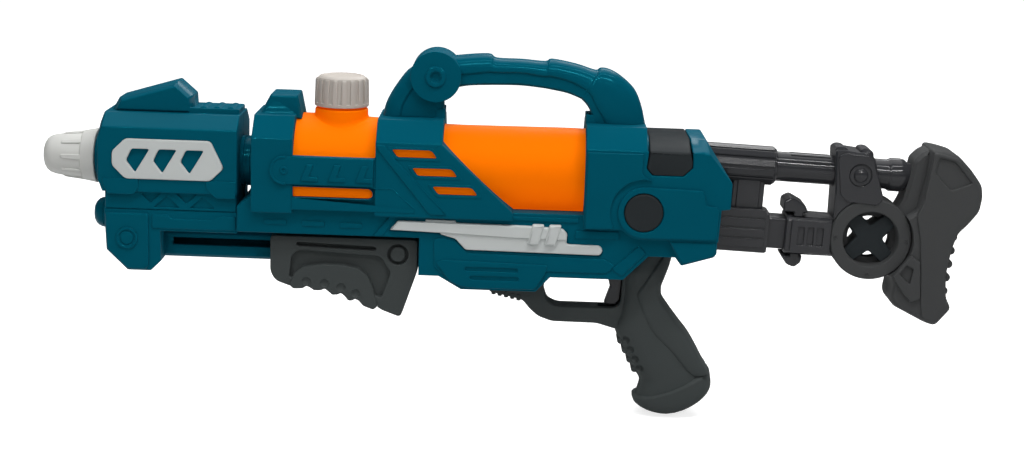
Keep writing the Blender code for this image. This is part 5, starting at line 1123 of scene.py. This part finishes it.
DISC = (-20.4, 93.2)
DISC_R = 13.1
RING_R = 17.6
MOAT_R = 22.6
DISC_FACE = BODY_HALF + 1.9
COVER_PROFILE = [
    (36.9, 0), (36.9, DISC_R), (DISC_FACE - 1, DISC_R), (DISC_FACE - 0.3, DISC_R - 0.4),
    (DISC_FACE, DISC_R - 1.1), (DISC_FACE, DISC_R - 2.2), (DISC_FACE - 0.2, DISC_R - 2.6),
    (DISC_FACE + 0.15, 0),
]
TAIL_PANEL = [(29.8, 75.8), (30.4, 98.4), (21.8, 99.4), (19.6, 109.6)]
SKIN_FRONT = [(-40.8, 81.2), (-59.8, 80.8), (-59.8, 133.4), (-22.6, 133.4), (-22.6, 121), (-19.6, 116.9)]
TAIL_BLOCK = [(-1.4, 73.4), (29.4, 73.4), (29.4, 67.2), (27.8, 64.4), (8.2, 58.4), (6.2, 60.6)]


def rear_panel():
    """The raised ring round the disc, run out to the tail as one panel."""
    ring = arc(DISC, RING_R, 90.0, 270.0, 24)
    return ring + soften([ring[-1]] + TAIL_PANEL + [ring[0]], 2.4)[6:-6]


def rear_skin():
    """The housing's side ahead of the ring, with a moat left between them."""
    return arc(DISC, MOAT_R, 78.0, 204.0, 24) + SKIN_FRONT


def rear_relief():
    hole = circle(DISC, DISC_R + 0.5, 40)
    relief = Mould().pierced_pair(rear_panel(), [hole], BODY_HALF - ROOT, DISC_FACE, 0.6)
    relief.plates(rear_skin(), BODY_HALF - ROOT, BODY_HALF + 1.7)
    relief.plates(soften(TAIL_BLOCK, 1.6), BODY_HALF - 3.0, BODY_HALF)
    add_piece("rear_relief", relief, "frame", "teal")


def round_cover(side):
    return Mould().knob(COVER_PROFILE, side, DISC, 64)


# Carry handle

HANDLE_ROWS = [
    (-201, 149.3, -157.5, 149.3, 12, 0.43), (-197.6, 160.3, -159, 158, 12, 0.4),
    (-190, 173, -156.5, 165.5, 12, 0.32), (-182, 182, -152.5, 169, 12, 0.2),
    (-167, 188.4, -147.5, 170.6, 12, 0), (-150, 191.4, -140, 171.8, 12, -0.2),
    (-129.5, 193.2, -129, 172.4, 12.2, -0.1), (-123.6, 190.4, -122.5, 172.6, 11.4, 0),
    (-106, 190.1, -106.5, 172.8, 11.2, 0.05), (-90.5, 189.2, -92, 171.6, 11.2, -0.05),
    (-85.5, 191, -86, 170.8, 12, -0.07), (-69.3, 188.3, -75, 168.8, 12, -0.15),
    (-55.6, 184.4, -66.2, 165.6, 12, -0.3), (-51.8, 186, -64, 164.2, 13, -0.4),
    (-46, 185.2, -61.4, 161.6, 13, -0.5), (-38, 181, -59.4, 158.6, 12.8, -0.62),
    (-28.4, 172.4, -57.8, 155.4, 12.4, -0.64), (-23.4, 162, -57.2, 152.4, 12.2, -0.58),
    (-20.1, 149.3, -56.8, 149.3, 12, -0.48),
]
HANDLE_DISC = (-164.7, 177.6)
HANDLE_ROUND = [
    (1, 0), (1, 0.22), (0.97, 0.46), (0.9, 0.65), (0.78, 0.8), (0.6, 0.91), (0.4, 0.97), (0.2, 1),
    (0.07, 0.985), (0, 0.94),
]
HANDLE_BAND = [(0.03, 0.88), (0.12, 0.89), (0.8, 0.86), (0.93, 0.78), (1, 0.62), (1, 0)]
FRONT_TAB = rectangle(-164.6, -157.8, 147.0, 155.4)
REAR_TAB = rectangle(-61.2, -54.6, 147.0, 154.6)
HANDLE_SCREW = (-164.7, 177.0)
HANDLE_CREASE = 24.0
TAB_HALF = 10.6
DISC_PROFILE = [
    (SEAM, 17.4), (15.1, 17.4), (15.45, 17.2), (15.6, 16.8), (15.6, 7.4), (15.8, 7), (16.9, 6.7),
    (17.1, 6.3), (17.1, 4.4), (16.9, 4), (15.5, 3.7),
]
DISC_BORE = [(14.4, 3.4), (SEAM, 3.4)]
DISC_BUTTON = [(15.2, 2.6), (14.8, 2.2), (14.8, 0), (SEAM, 0)]


def half_ring(row, side, marks, sag=0.0):
    """Half of a section between two points of the mid-plane; each mark is a share along and out."""
    x0, z0, x1, z1, half = row
    middle = Vector((x0 + x1, z0 + z1)) / 2
    reach = Vector((x0 - x1, z0 - z1)) / 2
    ring = []
    for along, out in marks:
        point = middle + reach * along
        ring.append((point.x, side * (SEAM + (half - SEAM) * out), point.y - sag * (1.0 - along ** 2)))
    return ring


def creased(row, side):
    """Half of the handle's section: a round tube, and a flatter band below its crease."""
    *ends, crease = row
    marks = [(crease + (1.0 - crease) * part, out) for part, out in HANDLE_ROUND]
    marks += [(crease - (1.0 + crease) * part, out) for part, out in HANDLE_BAND]
    return half_ring(ends, side, marks)


def oval(row, side, power, sag=0.0, steps=14):
    """Half of a rounded section; its middle may sag."""
    marks = []
    for i in range(steps + 1):
        turn = math.pi * (i / steps - 0.5)
        along = math.copysign(abs(math.sin(turn)) ** (2 / power), math.sin(turn))
        marks.append((along, max(math.cos(turn), 0.0) ** (2 / power)))
    return half_ring(row, side, marks, sag)


WELL_R = 3.3
WELL_STEPS = 24
WELL_FLOOR = 5.0
WELL_TOP = 60.0
BOWL_PARTS = (0.0, 0.1, 0.3, 0.6, 1.0)
BOWL_TOP = 6.0


def screw_well(mould, place, side):
    """The sunk way to a screw through one closed shape, on the right half only."""
    if side < 0:
        return mould
    return cut(mould, Mould().rod(WELL_FLOOR, WELL_TOP, WELL_R, "Y", place, WELL_STEPS))


def screw_hole(place, side):
    """The hole over a screw in a plate, on the right half only."""
    return [circle(place, WELL_R, WELL_STEPS)] if side > 0 else []


def dimple(cutter, place, radius, floor, face):
    """A cutter for a shallow bowl, sunk from a face to its floor."""
    depth = face - floor
    top = face + math.copysign(BOWL_TOP, depth)
    bowl = [(floor + depth * part, radius * math.sqrt(part * (2.0 - part))) for part in BOWL_PARTS]
    cutter.turned(bowl + [(top, radius), (top, 0.0)], "Y", place, 24)


def handle_half(side):
    tube = Mould().loft([creased(row, side) for row in flow(HANDLE_ROWS, 4)])
    profile = DISC_PROFILE + (DISC_BORE if side > 0 else DISC_BUTTON)
    return screw_well(tube, HANDLE_SCREW, side).knob(profile, side, HANDLE_DISC, 48, looped=True)


def make_handle():
    add_halves("handle_half", handle_half, "frame", "teal", node="handle", crease=HANDLE_CREASE)
    tabs = Mould()
    for outline in (FRONT_TAB, REAR_TAB):
        tabs.slab(soften(outline, 0.8, 3), TAB_HALF)
    add_piece("handle_tabs", tabs, "frame", "teal")


# Pump grip

PUMP_HALF = 24.0
PUMP_SCREW = (-186.0, 36.0)
PUMP_OUTLINE = [
    (-275.4, 66), (-173.4, 66), (-173.4, 43.6), (-184.5, 10.2), (-199.8, 15.8), (-204, 21.4),
    (-253.6, 32.4), (-259.6, 29.4), (-271.5, 33.5), (-275.4, 40),
]
PUMP_GROOVE = [(-256.4, 61.6), (-203.6, 60), (-202, 58.7), (-203.6, 57.4), (-256.4, 58.9), (-257.6, 60.2)]
PUMP_EYE = (-187.2, 55.1)
PUMP_RECESS = [
    (-262, 36), (-260.4, 51.6), (-255.4, 56), (-199.2, 53.3), (-192, 42), (-198.2, 24), (-205, 26.4),
    (-254, 37.4),
]
PUMP_PAD = [
    (-262, 31.4), (-258.6, 39.6), (-252.6, 44.4), (-239.1, 46.8), (-224.1, 46.6), (-213.6, 44.3),
    (-207.5, 39.1), (-204.4, 32.3), (-200.4, 18), (-203.4, 15.4), (-210.6, 18), (-213.6, 21.6),
    (-216.4, 22.8), (-218, 21.4), (-221, 21.4), (-223.4, 24.6), (-226, 26.6), (-228, 25.4), (-232, 25),
    (-234.6, 27.4), (-237.4, 29.4), (-239.6, 28), (-244.6, 27.8), (-246.8, 29.4), (-249.8, 30.8),
    (-252.6, 28.9), (-259, 28.6),
]
PUMP_BUTTON = [(18, 0), (18, 5.2), (24, 5.2), (24.6, 4.6), (24.6, 0)]
PUMP_ROOT = PUMP_HALF - 5.2
PUMP_CORE = PUMP_HALF - 3.4
PAD_FACE = PUMP_HALF + 2.2
BOWL_R = 3.3
BOWL_FLOOR = PUMP_HALF + 0.9
PUMP_DIMPLES = [(-249.8, 34.2), (-237.2, 33.2), (-225.9, 30.6), (-215.6, 26.8)]


def pump_pad(side):
    """The raised pad, with a bowl for each finger."""
    bowls = Mould()
    for place in PUMP_DIMPLES:
        dimple(bowls, place, BOWL_R, side * BOWL_FLOOR, side * PAD_FACE)
    pad = Mould().plate(soften(PUMP_PAD, 1.2, 4), side * PUMP_ROOT, side * PAD_FACE, 1.4, 0.9)
    return cut(pad, bowls)


def pump_shell(side):
    outline = soften(PUMP_OUTLINE, 3.4)
    core = Mould().plate(outline, side * SEAM, side * PUMP_CORE, 1.4, 1.0, 4)
    shell = screw_well(core, PUMP_SCREW, side)
    holes = [soften(PUMP_GROOVE, 0.8, 3), circle(PUMP_EYE, 7.2), soften(PUMP_RECESS, 2.4)]
    holes += screw_hole(PUMP_SCREW, side)
    shell.pierced(inset(outline, 0.2), holes, side * PUMP_ROOT, side * (PUMP_HALF + 0.8), 1.0)
    shell.knob(PUMP_BUTTON, side, PUMP_EYE, 32)
    return shell.join(pump_pad(side))


# Pistol grip and guard

GRIP_SCREW = (8.0, -44.0)
GRIP_ROWS = [
    (-16, 61, 0.6, 61, 14), (-24, 53, -0.6, 53, 14.2), (-29.8, 44, -2.6, 45.3, 14.4),
    (-29.6, 32, -5.4, 35, 14.6), (-31, 17, -4.4, 27, 14.8), (-34.6, 4, 0.8, 18.6, 15),
    (-31, -5.4, 8.6, 9, 15.4), (-27.8, -11.6, 15.4, 0.1, 15.6), (-24.2, -19, 21.4, -9.6, 15.8),
    (-19.4, -27, 26.4, -18.8, 15.9), (-15.4, -34, 30, -23.6, 16), (-16.4, -41.6, 32, -29.6, 16),
    (-18.4, -46.8, 33, -34.4, 16),
]
GRIP_BACK = [
    (-3, 60, 3.2, 61, 15.6), (-10, 49, 1.6, 52, 16.2), (-17.5, 37.5, -1.5, 42, 16.6),
    (-21.8, 30.5, -3.4, 35.5, 16.8), (-20, 23.5, -2.4, 27.2, 16.8), (-15.5, 13, 3, 19, 16.8),
    (-11.5, 4.1, 10.8, 9, 16.8), (-5, -3, 17.8, 0.4, 16.8), (2, -9, 24, -9.6, 16.8),
    (10, -18, 29, -18.6, 16.7), (17, -25.5, 31.8, -22.6, 16.4), (23, -27.8, 32.8, -25.6, 15.6),
]
GRIP_BASE = [
    (-17, -44.4, 31, -22.4, 15.2, 4.6), (-19.6, -45.6, 33.4, -24.2, 17.4, 4.6),
    (-20, -46.8, 34.6, -27.6, 17.6, 4.8), (-19, -49.2, 35.4, -33.4, 17.6, 5),
    (-16, -51.8, 34.6, -38.6, 17.4, 5), (-11, -54, 31, -43.4, 16.6, 4.4),
    (-4, -55.6, 24, -48.4, 14.6, 2.8), (1, -56.4, 16, -52.6, 11, 1.4),
]
FINGER_CUP = (-26.9, -3.6)
FINGER_RIDGE = (-29.9, -5.0)
FINGER_STEP = (3.55, 0.0, -6.75)
FINGER_COUNT = 4
CUP_R = 3.0
CUP_FLOOR = 10.0
CUP_FACE = 12.8

# How square the sections are: 2 is an ellipse
GRIP_POWER = 2.9
BASE_POWER = 3.4
BACK_POWER = 4.4
TRIGGER_SLOT = rectangle(-47.0, -22.6, 16.6, 64.0)
TRIGGER_SLOT_HALF = 5.2
GUARD_HALF = 9.0
RIB_HALF = 9.4
GUARD = [
    (-124, 33.7), (-124, 27), (-100.3, 22), (-94.8, 15.5), (-88.7, 10.4), (-79.2, 7.2), (-47.6, 6.9),
    (-34.4, 3.2), (-26, 3.2), (-26, 44.2), (-82, 44.2), (-91.3, 33.7),
]
GUARD_GAP = [
    (-84, 40.6), (-86, 31), (-83, 21.6), (-76, 18.4), (-36, 18.4), (-31.4, 22), (-30.6, 43.4),
    (-80.6, 43.4),
]
GUARD_STEP = (4.4, 0.0, -0.95)
GUARD_RIB = rectangle(-122.2, -119.0, 25.3, 30.0)


def trigger_way():
    """The slot that the trigger swings in."""
    return Mould().slab(TRIGGER_SLOT, TRIGGER_SLOT_HALF)


def grip_cutter(side):
    """The trigger's slot and a row of finger dimples."""
    cutter = trigger_way()
    for i in range(FINGER_COUNT):
        place = (FINGER_CUP[0] + FINGER_STEP[0] * i, FINGER_CUP[1] + FINGER_STEP[2] * i)
        dimple(cutter, place, CUP_R, side * CUP_FLOOR, side * CUP_FACE)
    return cutter


def make_grip():
    for side in SIDES:
        name = SIDE_NAME[side]
        core = Mould().loft([oval(row, side, GRIP_POWER) for row in flow(GRIP_ROWS, 4)])
        half = screw_well(cut(core, grip_cutter(side)), GRIP_SCREW, side)
        base = Mould().loft([oval(row[:5], side, BASE_POWER, row[5]) for row in flow(GRIP_BASE, 3)])
        half.join(screw_well(base, GRIP_SCREW, side))
        half.loft([oval(row, side, BACK_POWER) for row in flow(GRIP_BACK, 4)])
        add_piece("grip_half_" + name, half, "frame", "dark", replaced=("grip_" + name,))
        gap = soften(GUARD_GAP, 3.0)
        guard = Mould().pierced(soften(GUARD, 2.6), [gap], side * SEAM, side * GUARD_HALF, 1.6)
        add_piece("guard_half_" + name, cut(guard, trigger_way()), "frame", "dark")
    rib = Mould().slab(soften(GUARD_RIB, 1.3, 4), RIB_HALF)
    add_row("guard_ribs", rib, "frame", "dark", 5, step=GUARD_STEP)
    finger = Mould().slab(circle(FINGER_RIDGE, 2.7, 20), RIB_HALF, 1.6)
    add_row("finger_ridges", finger, "frame", "dark", FINGER_COUNT, step=FINGER_STEP)


# Stock, drawn along its own tilted line: u runs back, w is up

STOCK = Matrix.Translation((36.0, 0.0, 100.0)) @ Matrix.Rotation(math.radians(2.2), 4, "Y")
UPPER_W = 23.3
LOWER_W = -22.3
RING = (104.0, -20.8)
BUTT_HALF = 19.0
BUTT = [
    (122, -5), (133, 2), (137, 24), (138, 45.8), (145.6, 45), (156.8, 42.5), (167, 33.1), (175.6, 22.8),
    (177.1, 14.5), (176.1, 4.2), (169, -6), (163.4, -12), (160.4, -24), (158.6, -41.8), (160.5, -58),
    (164.9, -65.3), (155, -78.5), (147.3, -76.7), (123.8, -66.1), (121.3, -61.1), (122.5, -51.3),
    (115, -38),
]
BUTT_PAD = [
    (139.6, 43.8), (146, 43), (156.2, 40.6), (166, 31.8), (174, 22.2), (175.4, 14.5), (174.4, 5.4),
    (167.6, -4.8), (162, -11.4), (159, -24), (157.2, -41.8), (159, -58), (162.8, -65), (154.4, -76.2),
    (147.6, -74.8), (144.2, -73), (141.6, -58.1), (136.9, -17.6), (132.6, -1.7), (136.3, 9.3),
    (138.2, 30),
]
BUTT_PENT = [(143.4, 40.2), (154, 38.4), (167.6, 24.4), (153.6, 18.4), (142, 29.6)]
BUTT_STRUT = [(131.8, -29), (138.6, -33), (141.6, -58.9), (135.4, -62), (129, -56), (120.6, -44.6)]
STRUT_GAP = [(129.4, -36), (134.4, -38.2), (133, -49.2), (125.4, -42.6)]
BUTT_NECK = [(140, 45), (133.5, 41.5), (128.5, 36), (127, 24), (124, 8), (119, -3), (124, -8), (142, -6)]
BUTT_RIDGE = (160.6, -15.0)
BUTT_STEP = (-0.9, 0.0, -9.6)
NECK_HALF = 12.0
BUTT_SCREW = (155.0, 14.0)
TUBE_RIBS = (32.0, 64.0, 116.0, 148.0)
TUBE_RIB_ENDS = (44.6, 72.0)
CROSS_REACH = 19.2
CROSS_TIP = 5.2
CROSS_FOOT = 6.2
CROSS_HALF = 9.6
RING_SEAT_R = 28.9
RING_SEAT_HALF = 30.0
RIDGE_LEVELS = ((-16.6, 1.6), (-15.4, 0.4), (-14, 0), (14, 0), (15.4, 0.4), (16.6, 1.6))
RING_PROFILE = [
    (SEAM, 14.6), (SEAM, 28), (9, 28), (9.6, 28.6), (13, 28.6), (13.8, 28.2), (14.3, 27.4), (14.3, 20.4),
    (14, 19.6), (13.2, 19.1), (12, 18.9), (4.4, 18.7), (4, 18.4), (4, 15), (3.6, 14.6),
]
STUD = (RING[0], RING[1] + 24.6)
STUD_PROFILE = [(13, 0), (13, 1.5), (14.6, 1.5), (14.8, 1.2), (14.8, 0.9), (14, 0.7), (14, 0)]
TUBE_PROFILE = [
    (-14, 8), (-14, 10.3), (99, 10.3), (99.6, 10.7), (102, 10.7), (102.6, 10.3), (112, 10.3), (113, 10.8),
    (114.6, 11.6), (121, 11.6), (123.6, 11), (125.4, 9.6), (127, 8.9), (129, 8.6), (150, 7), (150, 5.4),
    (115, 5.4), (115, 8),
]
TUBE_RIB = ((10, -4), (10.9, -3.2), (10.9, 3.2), (10, 4))
LOWER_TUBE = rectangle(-9.0, 9.0, -11.2, 11.2)
LOWER_ENDS = ((-14, 0.96), (-13.4, 1), (72.6, 1), (73, 0.97))
UPPER_AXIS = (0.0, UPPER_W)


def in_stock(mould):
    return mould.moved(STOCK)


def butt_half(side):
    core = Mould().plate(soften(BUTT, 3.2, 4), side * SEAM, side * BUTT_HALF, 5.0, 3.0, 4)
    seat = Mould().rod(-RING_SEAT_HALF, RING_SEAT_HALF, RING_SEAT_R, "Y", RING, 64)
    half = screw_well(cut(core, seat), BUTT_SCREW, side)
    holes = [soften(BUTT_PENT, 1.6)] + screw_hole(BUTT_SCREW, side)
    half.pierced(soften(BUTT_PAD, 2.4, 4), holes, side * (BUTT_HALF - 3.0), side * (BUTT_HALF + 1.6), 1.2)
    strut, gap = soften(BUTT_STRUT, 1.4), soften(STRUT_GAP, 1.0)
    half.pierced(strut, [gap], side * (BUTT_HALF - 2.0), side * (BUTT_HALF + 2.4), 0.9)
    return in_stock(half)


def make_butt():
    add_halves("butt_half", butt_half, "stock", "dark", SMOKE_FINISH, "butt")
    ridge = Mould().bar(circle(BUTT_RIDGE, 3.0, 16), RIDGE_LEVELS)
    add_row("butt_ridges", in_stock(ridge), "stock", "dark", 5, step=BUTT_STEP, finish=SMOKE_FINISH)
    neck = Mould().slab(soften(BUTT_NECK, 2.0), NECK_HALF, 2.4)
    add_piece("butt_neck", in_stock(neck), "stock", "dark", SMOKE_FINISH)


def ring_half(side):
    return in_stock(Mould().knob(RING_PROFILE, side, RING, 72, looped=True))


def make_ring():
    add_halves("ring_half", ring_half, "stock", "dark", SMOKE_FINISH, "stock_ring")
    stud = Mould()
    for side in SIDES:
        stud.knob(STUD_PROFILE, side, STUD, 20)
    pivot = STOCK @ Vector((RING[0], 0.0, RING[1]))
    add_row(
        "ring_studs", in_stock(stud), "stock", "dark", 4,
        axis=(0, 1, 0), turn=90.0, pivot=pivot, finish=SMOKE_FINISH,
    )


def make_cross():
    """Four broad arms inside the ring."""
    outline = []
    for i in range(4):
        turn = math.radians(45.0 + 90.0 * i)
        out = Vector((math.cos(turn), math.sin(turn)))
        side = Vector((-out.y, out.x))
        middle = Vector(RING)
        tip = middle + out * CROSS_REACH
        foot = middle + (out + side) * CROSS_FOOT
        outline += [tuple(tip - side * CROSS_TIP), tuple(tip + side * CROSS_TIP), tuple(foot)]
    cross = Mould().slab(soften(outline, 1.8, 4), CROSS_HALF, 0.8)
    add_piece("ring_spokes", in_stock(cross), "stock", "dark", COAL_FINISH, ("ring_cross",))


def make_tubes():
    tube = Mould().turned(TUBE_PROFILE, "X", UPPER_AXIS, 56, looped=True)
    for middle in TUBE_RIBS:
        ring = [(radius, math.radians(middle + turn)) for radius, turn in TUBE_RIB]
        tube.loft([[on_axis("X", UPPER_AXIS, u, *mark) for mark in ring] for u in TUBE_RIB_ENDS])
    add_piece("upper_tube", in_stock(tube), "stock", "dark_gloss", replaced=("stock_tube_upper",))
    section = soften(LOWER_TUBE, 2.6)
    lower = Mould().loft([[(u, y * k, LOWER_W + w * k) for y, w in section] for u, k in LOWER_ENDS])
    add_piece("lower_tube", in_stock(lower), "stock", "dark_gloss", replaced=("stock_tube_lower",))


# Trigger spring


def make_spring():
    """The coil behind the trigger, on a mesh of its own; the real coil shortens towards its seat as the
    trigger is pulled.
    """
    mesh = to_mesh("trigger_coil", merged("trigger_spring"))
    coil = place_mesh("trigger_coil", mesh, "frame", "steel", None, ("trigger_spring",))
    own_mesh(coil)


# Stock sleeve

SLEEVE_PROFILE = [
    (-24, 0), (-24, 12.4), (33.4, 12.4), (34.6, 12), (35, 11.5), (35, 10.6), (20, 10.6), (20, 0),
]
SLEEVE_BOX = rectangle(-12.4, 12.4, -14.6, 14.6)
SLEEVE_MOUTH = rectangle(-9.3, 9.3, -11.5, 11.5)
SLEEVE_WEBS = ((8, 6, 28), (9, 9, 25))
SLAT = [(-2.5, 11.6), (-2.5, 12.9), (-1.9, 13.35), (1.9, 13.35), (2.5, 12.9), (2.5, 11.6)]
SLAT_ENDS = ((-23, 0), (32.6, 0), (33.8, 0.9))
SLAT_COUNT = 12
BOARD_STEP = (-0.27, 0.0, -7.0)
BOARD = rectangle(-23.0, 30.6, -11.6, -5.8)


def sleeve_core():
    """A round socket above a square one, with webs between them."""
    sleeve = Mould().turned(SLEEVE_PROFILE, "X", UPPER_AXIS, 64)
    section, mouth = soften(SLEEVE_BOX, 3.0), soften(SLEEVE_MOUTH, 2.6)
    lip = [(y * 0.95, w * 0.96) for y, w in section]
    rings = [(-24.0, section), (31.6, section), (33.0, lip), (33.0, mouth), (18.0, mouth)]
    sleeve.loft([[(u, y, LOWER_W + w) for y, w in ring] for u, ring in rings])
    for half, u0, u1 in SLEEVE_WEBS:
        sleeve.slab(soften(rectangle(u0, u1, -12.0, 14.0), 1.0), half)
    add_piece("sleeve_core", in_stock(sleeve), "frame", "dark_gloss", replaced=("stock_sleeve",))


def sleeve_slats():
    """Flutes round the upper socket and boards on the lower one."""
    slat = Mould().loft([[(u, y, UPPER_W + w - drop) for y, w in SLAT] for u, drop in SLAT_ENDS])
    turn = 360.0 / SLAT_COUNT
    slat.moved(swung(UPPER_W, turn / 2))
    pivot = STOCK @ Vector((0.0, 0.0, UPPER_W))
    axis = STOCK.to_3x3() @ Vector((1.0, 0.0, 0.0))
    add_row(
        "sleeve_flutes", in_stock(slat), "frame", "dark_gloss", SLAT_COUNT, axis=axis, turn=turn, pivot=pivot,
    )
    board = Mould().plates(soften(BOARD, 1.2), 11.6, 13.2, 0.5)
    add_row("sleeve_boards", in_stock(board), "frame", "dark_gloss", 4, step=BOARD_STEP)


# Stock bracket

BRACKET_ROOT = 12.6
BRACKET_FRAME = [(48.4, -10.8), (76, -10.2), (76, -33.6), (48.4, -34)]
LADDER_SLOT = rectangle(53.2, 57.4, -28.0, -15.4)
LADDER_STEP = 6.6
ARM_FACE = [
    (75.4, 35.6), (80, 38.2), (92, 37.4), (97, 37.6), (101, 31.6), (109.6, 8.6), (106.4, 3.4),
    (84.6, 4.4), (79.6, 9),
]
ARM_EYE = (92.1, 23.6)
EYE_BOLT = [(12, 0), (12, 5.4), (15, 5.4), (16.6, 4.6), (17.6, 3), (17.9, 1.4), (18, 0)]
HUMP_HALF = 11.0
HUMP_STEP = (17.0, 0.0, -0.9)
ARM_HUMP = [(73.6, 33), (73.8, 40.2), (76, 41.6), (80, 41.6), (83, 39.6), (84, 33)]


def bracket_relief():
    slots = [soften(shifted(LADDER_SLOT, LADDER_STEP * i), 1.2, 4) for i in range(3)]
    relief = Mould().pierced_pair(soften(BRACKET_FRAME, 2.2), slots, BRACKET_ROOT, 15.6, 0.7)
    relief.pierced_pair(soften(ARM_FACE, 2.2), [circle(ARM_EYE, 7.6)], BRACKET_ROOT, 15.2, 0.7)
    for side in SIDES:
        relief.knob(EYE_BOLT, side, ARM_EYE, 36)
    add_piece("bracket_relief", in_stock(relief), "stock", "dark_gloss")
    hump = Mould().slab(soften(ARM_HUMP, 1.8, 4), HUMP_HALF, 1.6)
    add_row("arm_humps", in_stock(hump), "stock", "dark_gloss", 2, step=HUMP_STEP)


# Screws on the right side

SCREW_FACE = 6.3
SCREW_CREASE = 30.0
SCREW_HEAD = {"Head Radius": 3.0, "Head Height": 1.6, "Slot Width": 0.8, "Slot Depth": 1.1}
SCREWS = {
    "frame": {
        "body_screw": [(-270.0, 153.5), (-124.0, 43.5), (-2.0, 70.0)],
        "front_screw": [(-365.0, 153.0), (-379.0, 54.0)],
        "handle_screw": [HANDLE_SCREW],
        "grip_screw": [GRIP_SCREW],
    },
    "pump": {"pump_screw": [PUMP_SCREW]},
    "stock": {"stock_screw": [BUTT_SCREW]},
}


def make_screws():
    for body, groups in SCREWS.items():
        points = Mould()
        nodes = []
        for group, places in groups.items():
            for i, (x, z) in enumerate(places):
                points.bm.verts.new((x, SCREW_FACE, z))
                nodes.append(f"{group}_{i + 1}")
        if body == "stock":
            points = in_stock(points)
        sizes = {label: size * MM for label, size in SCREW_HEAD.items()}
        mesh = grown(SCREW_TREE, points, {**sizes, "Finish": STEEL_FINISH})
        place_mesh("screw_heads_" + body, mesh, body, "steel", None, nodes)
        mesh.set_sharp_from_angle(angle=math.radians(SCREW_CREASE))


# Stage


def make_camera():
    tilt = Matrix.Rotation(math.radians(90.0 - LOOK_DOWN), 4, "X")
    roll = Matrix.Rotation(math.radians(ROLL), 4, "Z")
    place = Vector(AIM) + tilt @ Vector((0.0, 0.0, STAND_OFF))
    data = bpy.data.cameras.new("photo_camera")
    data.sensor_width = SENSOR
    data.lens = SENSOR * FOCAL_PIXELS / PHOTO_WIDTH
    camera = new_object("photo_camera", data)
    camera.matrix_world = Matrix.Translation(place * MM) @ tilt @ roll
    bpy.context.scene.camera = camera


def make_floor():
    bm = bmesh.new()
    reach = FLOOR_REACH * MM
    corners = rectangle(-reach, reach, -reach, reach)
    bm.faces.new([bm.verts.new((x, y, FLOOR_Z * MM)) for x, y in corners])
    mesh = to_mesh("studio_floor", bm)
    mesh.materials.append(stage_white("studio_white"))
    floor = new_object("studio_floor", mesh)


# Name, place, size and power of each lamp; glints only show as highlights on glossy pieces
LAMPS = [
    ("strip_lamp", (100, -560, 1350), (1600, 45), 13.0),
    ("low_glint", (0, -1400, 640), (1500, 16), 2.0),
    ("high_glint", (0, -1300, 1100), (1500, 20), 30.0),
    ("front_lamp", (-100, -1500, 350), (900, 500), 0.45),
    ("top_lamp", (-100, 300, 1000), (1300, 700), 6.5),
    ("left_lamp", (-700, -800, 900), (50, 50), 1.6),
    ("right_lamp", (650, -1000, 900), (60, 60), 2.2),
    ("back_lamp", (200, 1100, 900), (700, 400), 4.0),
]
WORLD_LEVEL = 0.14


def make_lamp(name, place, size, power):
    data = bpy.data.lights.new(name, "AREA")
    data.shape = "RECTANGLE"
    data.size, data.size_y = size[0] * MM, size[1] * MM
    data.energy = power
    lamp = new_object(name, data)
    lamp.location = Vector(place) * MM
    lamp.rotation_euler = (Vector(place) - Vector(AIM)).to_track_quat("Z", "Y").to_euler()
    lamp.visible_diffuse = not name.endswith("_glint")


def make_world():
    world = bpy.data.worlds.new("studio_world")
    world.use_nodes = True
    background = world.node_tree.nodes["Background"]
    background.inputs["Color"].default_value = (*WHITE, 1.0)
    background.inputs["Strength"].default_value = WORLD_LEVEL
    bpy.context.scene.world = world


def make_stage():
    make_camera()
    make_floor()
    for lamp in LAMPS:
        make_lamp(*lamp)
    make_world()
    bpy.context.scene.view_settings.view_transform = "Standard"


# Width of the rounded edges of each CAD node that is shown with its own faces
MOULDED = {
    "body_shell_left": 0.9, "body_shell_right": 0.9, "front_shell_left": 0.9, "front_shell_right": 0.9,
    "saddle_cover": 1.2, "pump_rail": 0.8, "stock_bracket": 1.0, "release_tab": 1.6, "trigger": 1.2,
}


def main():
    make_stage()
    dress_nodes()
    for node, width in MOULDED.items():
        moulded(node, width, COAL_FINISH if node == "saddle_cover" else None)
    make_tank()
    tank_cheeks()
    make_cap()
    make_nozzle()
    make_barrel()
    make_plug()
    add_halves("window_plate", window_plate, "frame", "pale", node="side_plate")
    front_relief()
    collar_relief()
    mid_relief()
    hull_relief()
    make_trims()
    rear_relief()
    add_halves("round_cover", round_cover, "frame", "dark", COAL_FINISH, "side_disc")
    make_handle()
    add_halves("pump_shell", pump_shell, "pump", "dark", node="pump_grip")
    make_grip()
    make_butt()
    make_ring()
    make_cross()
    make_tubes()
    sleeve_core()
    sleeve_slats()
    bracket_relief()
    make_spring()
    make_screws()


main()
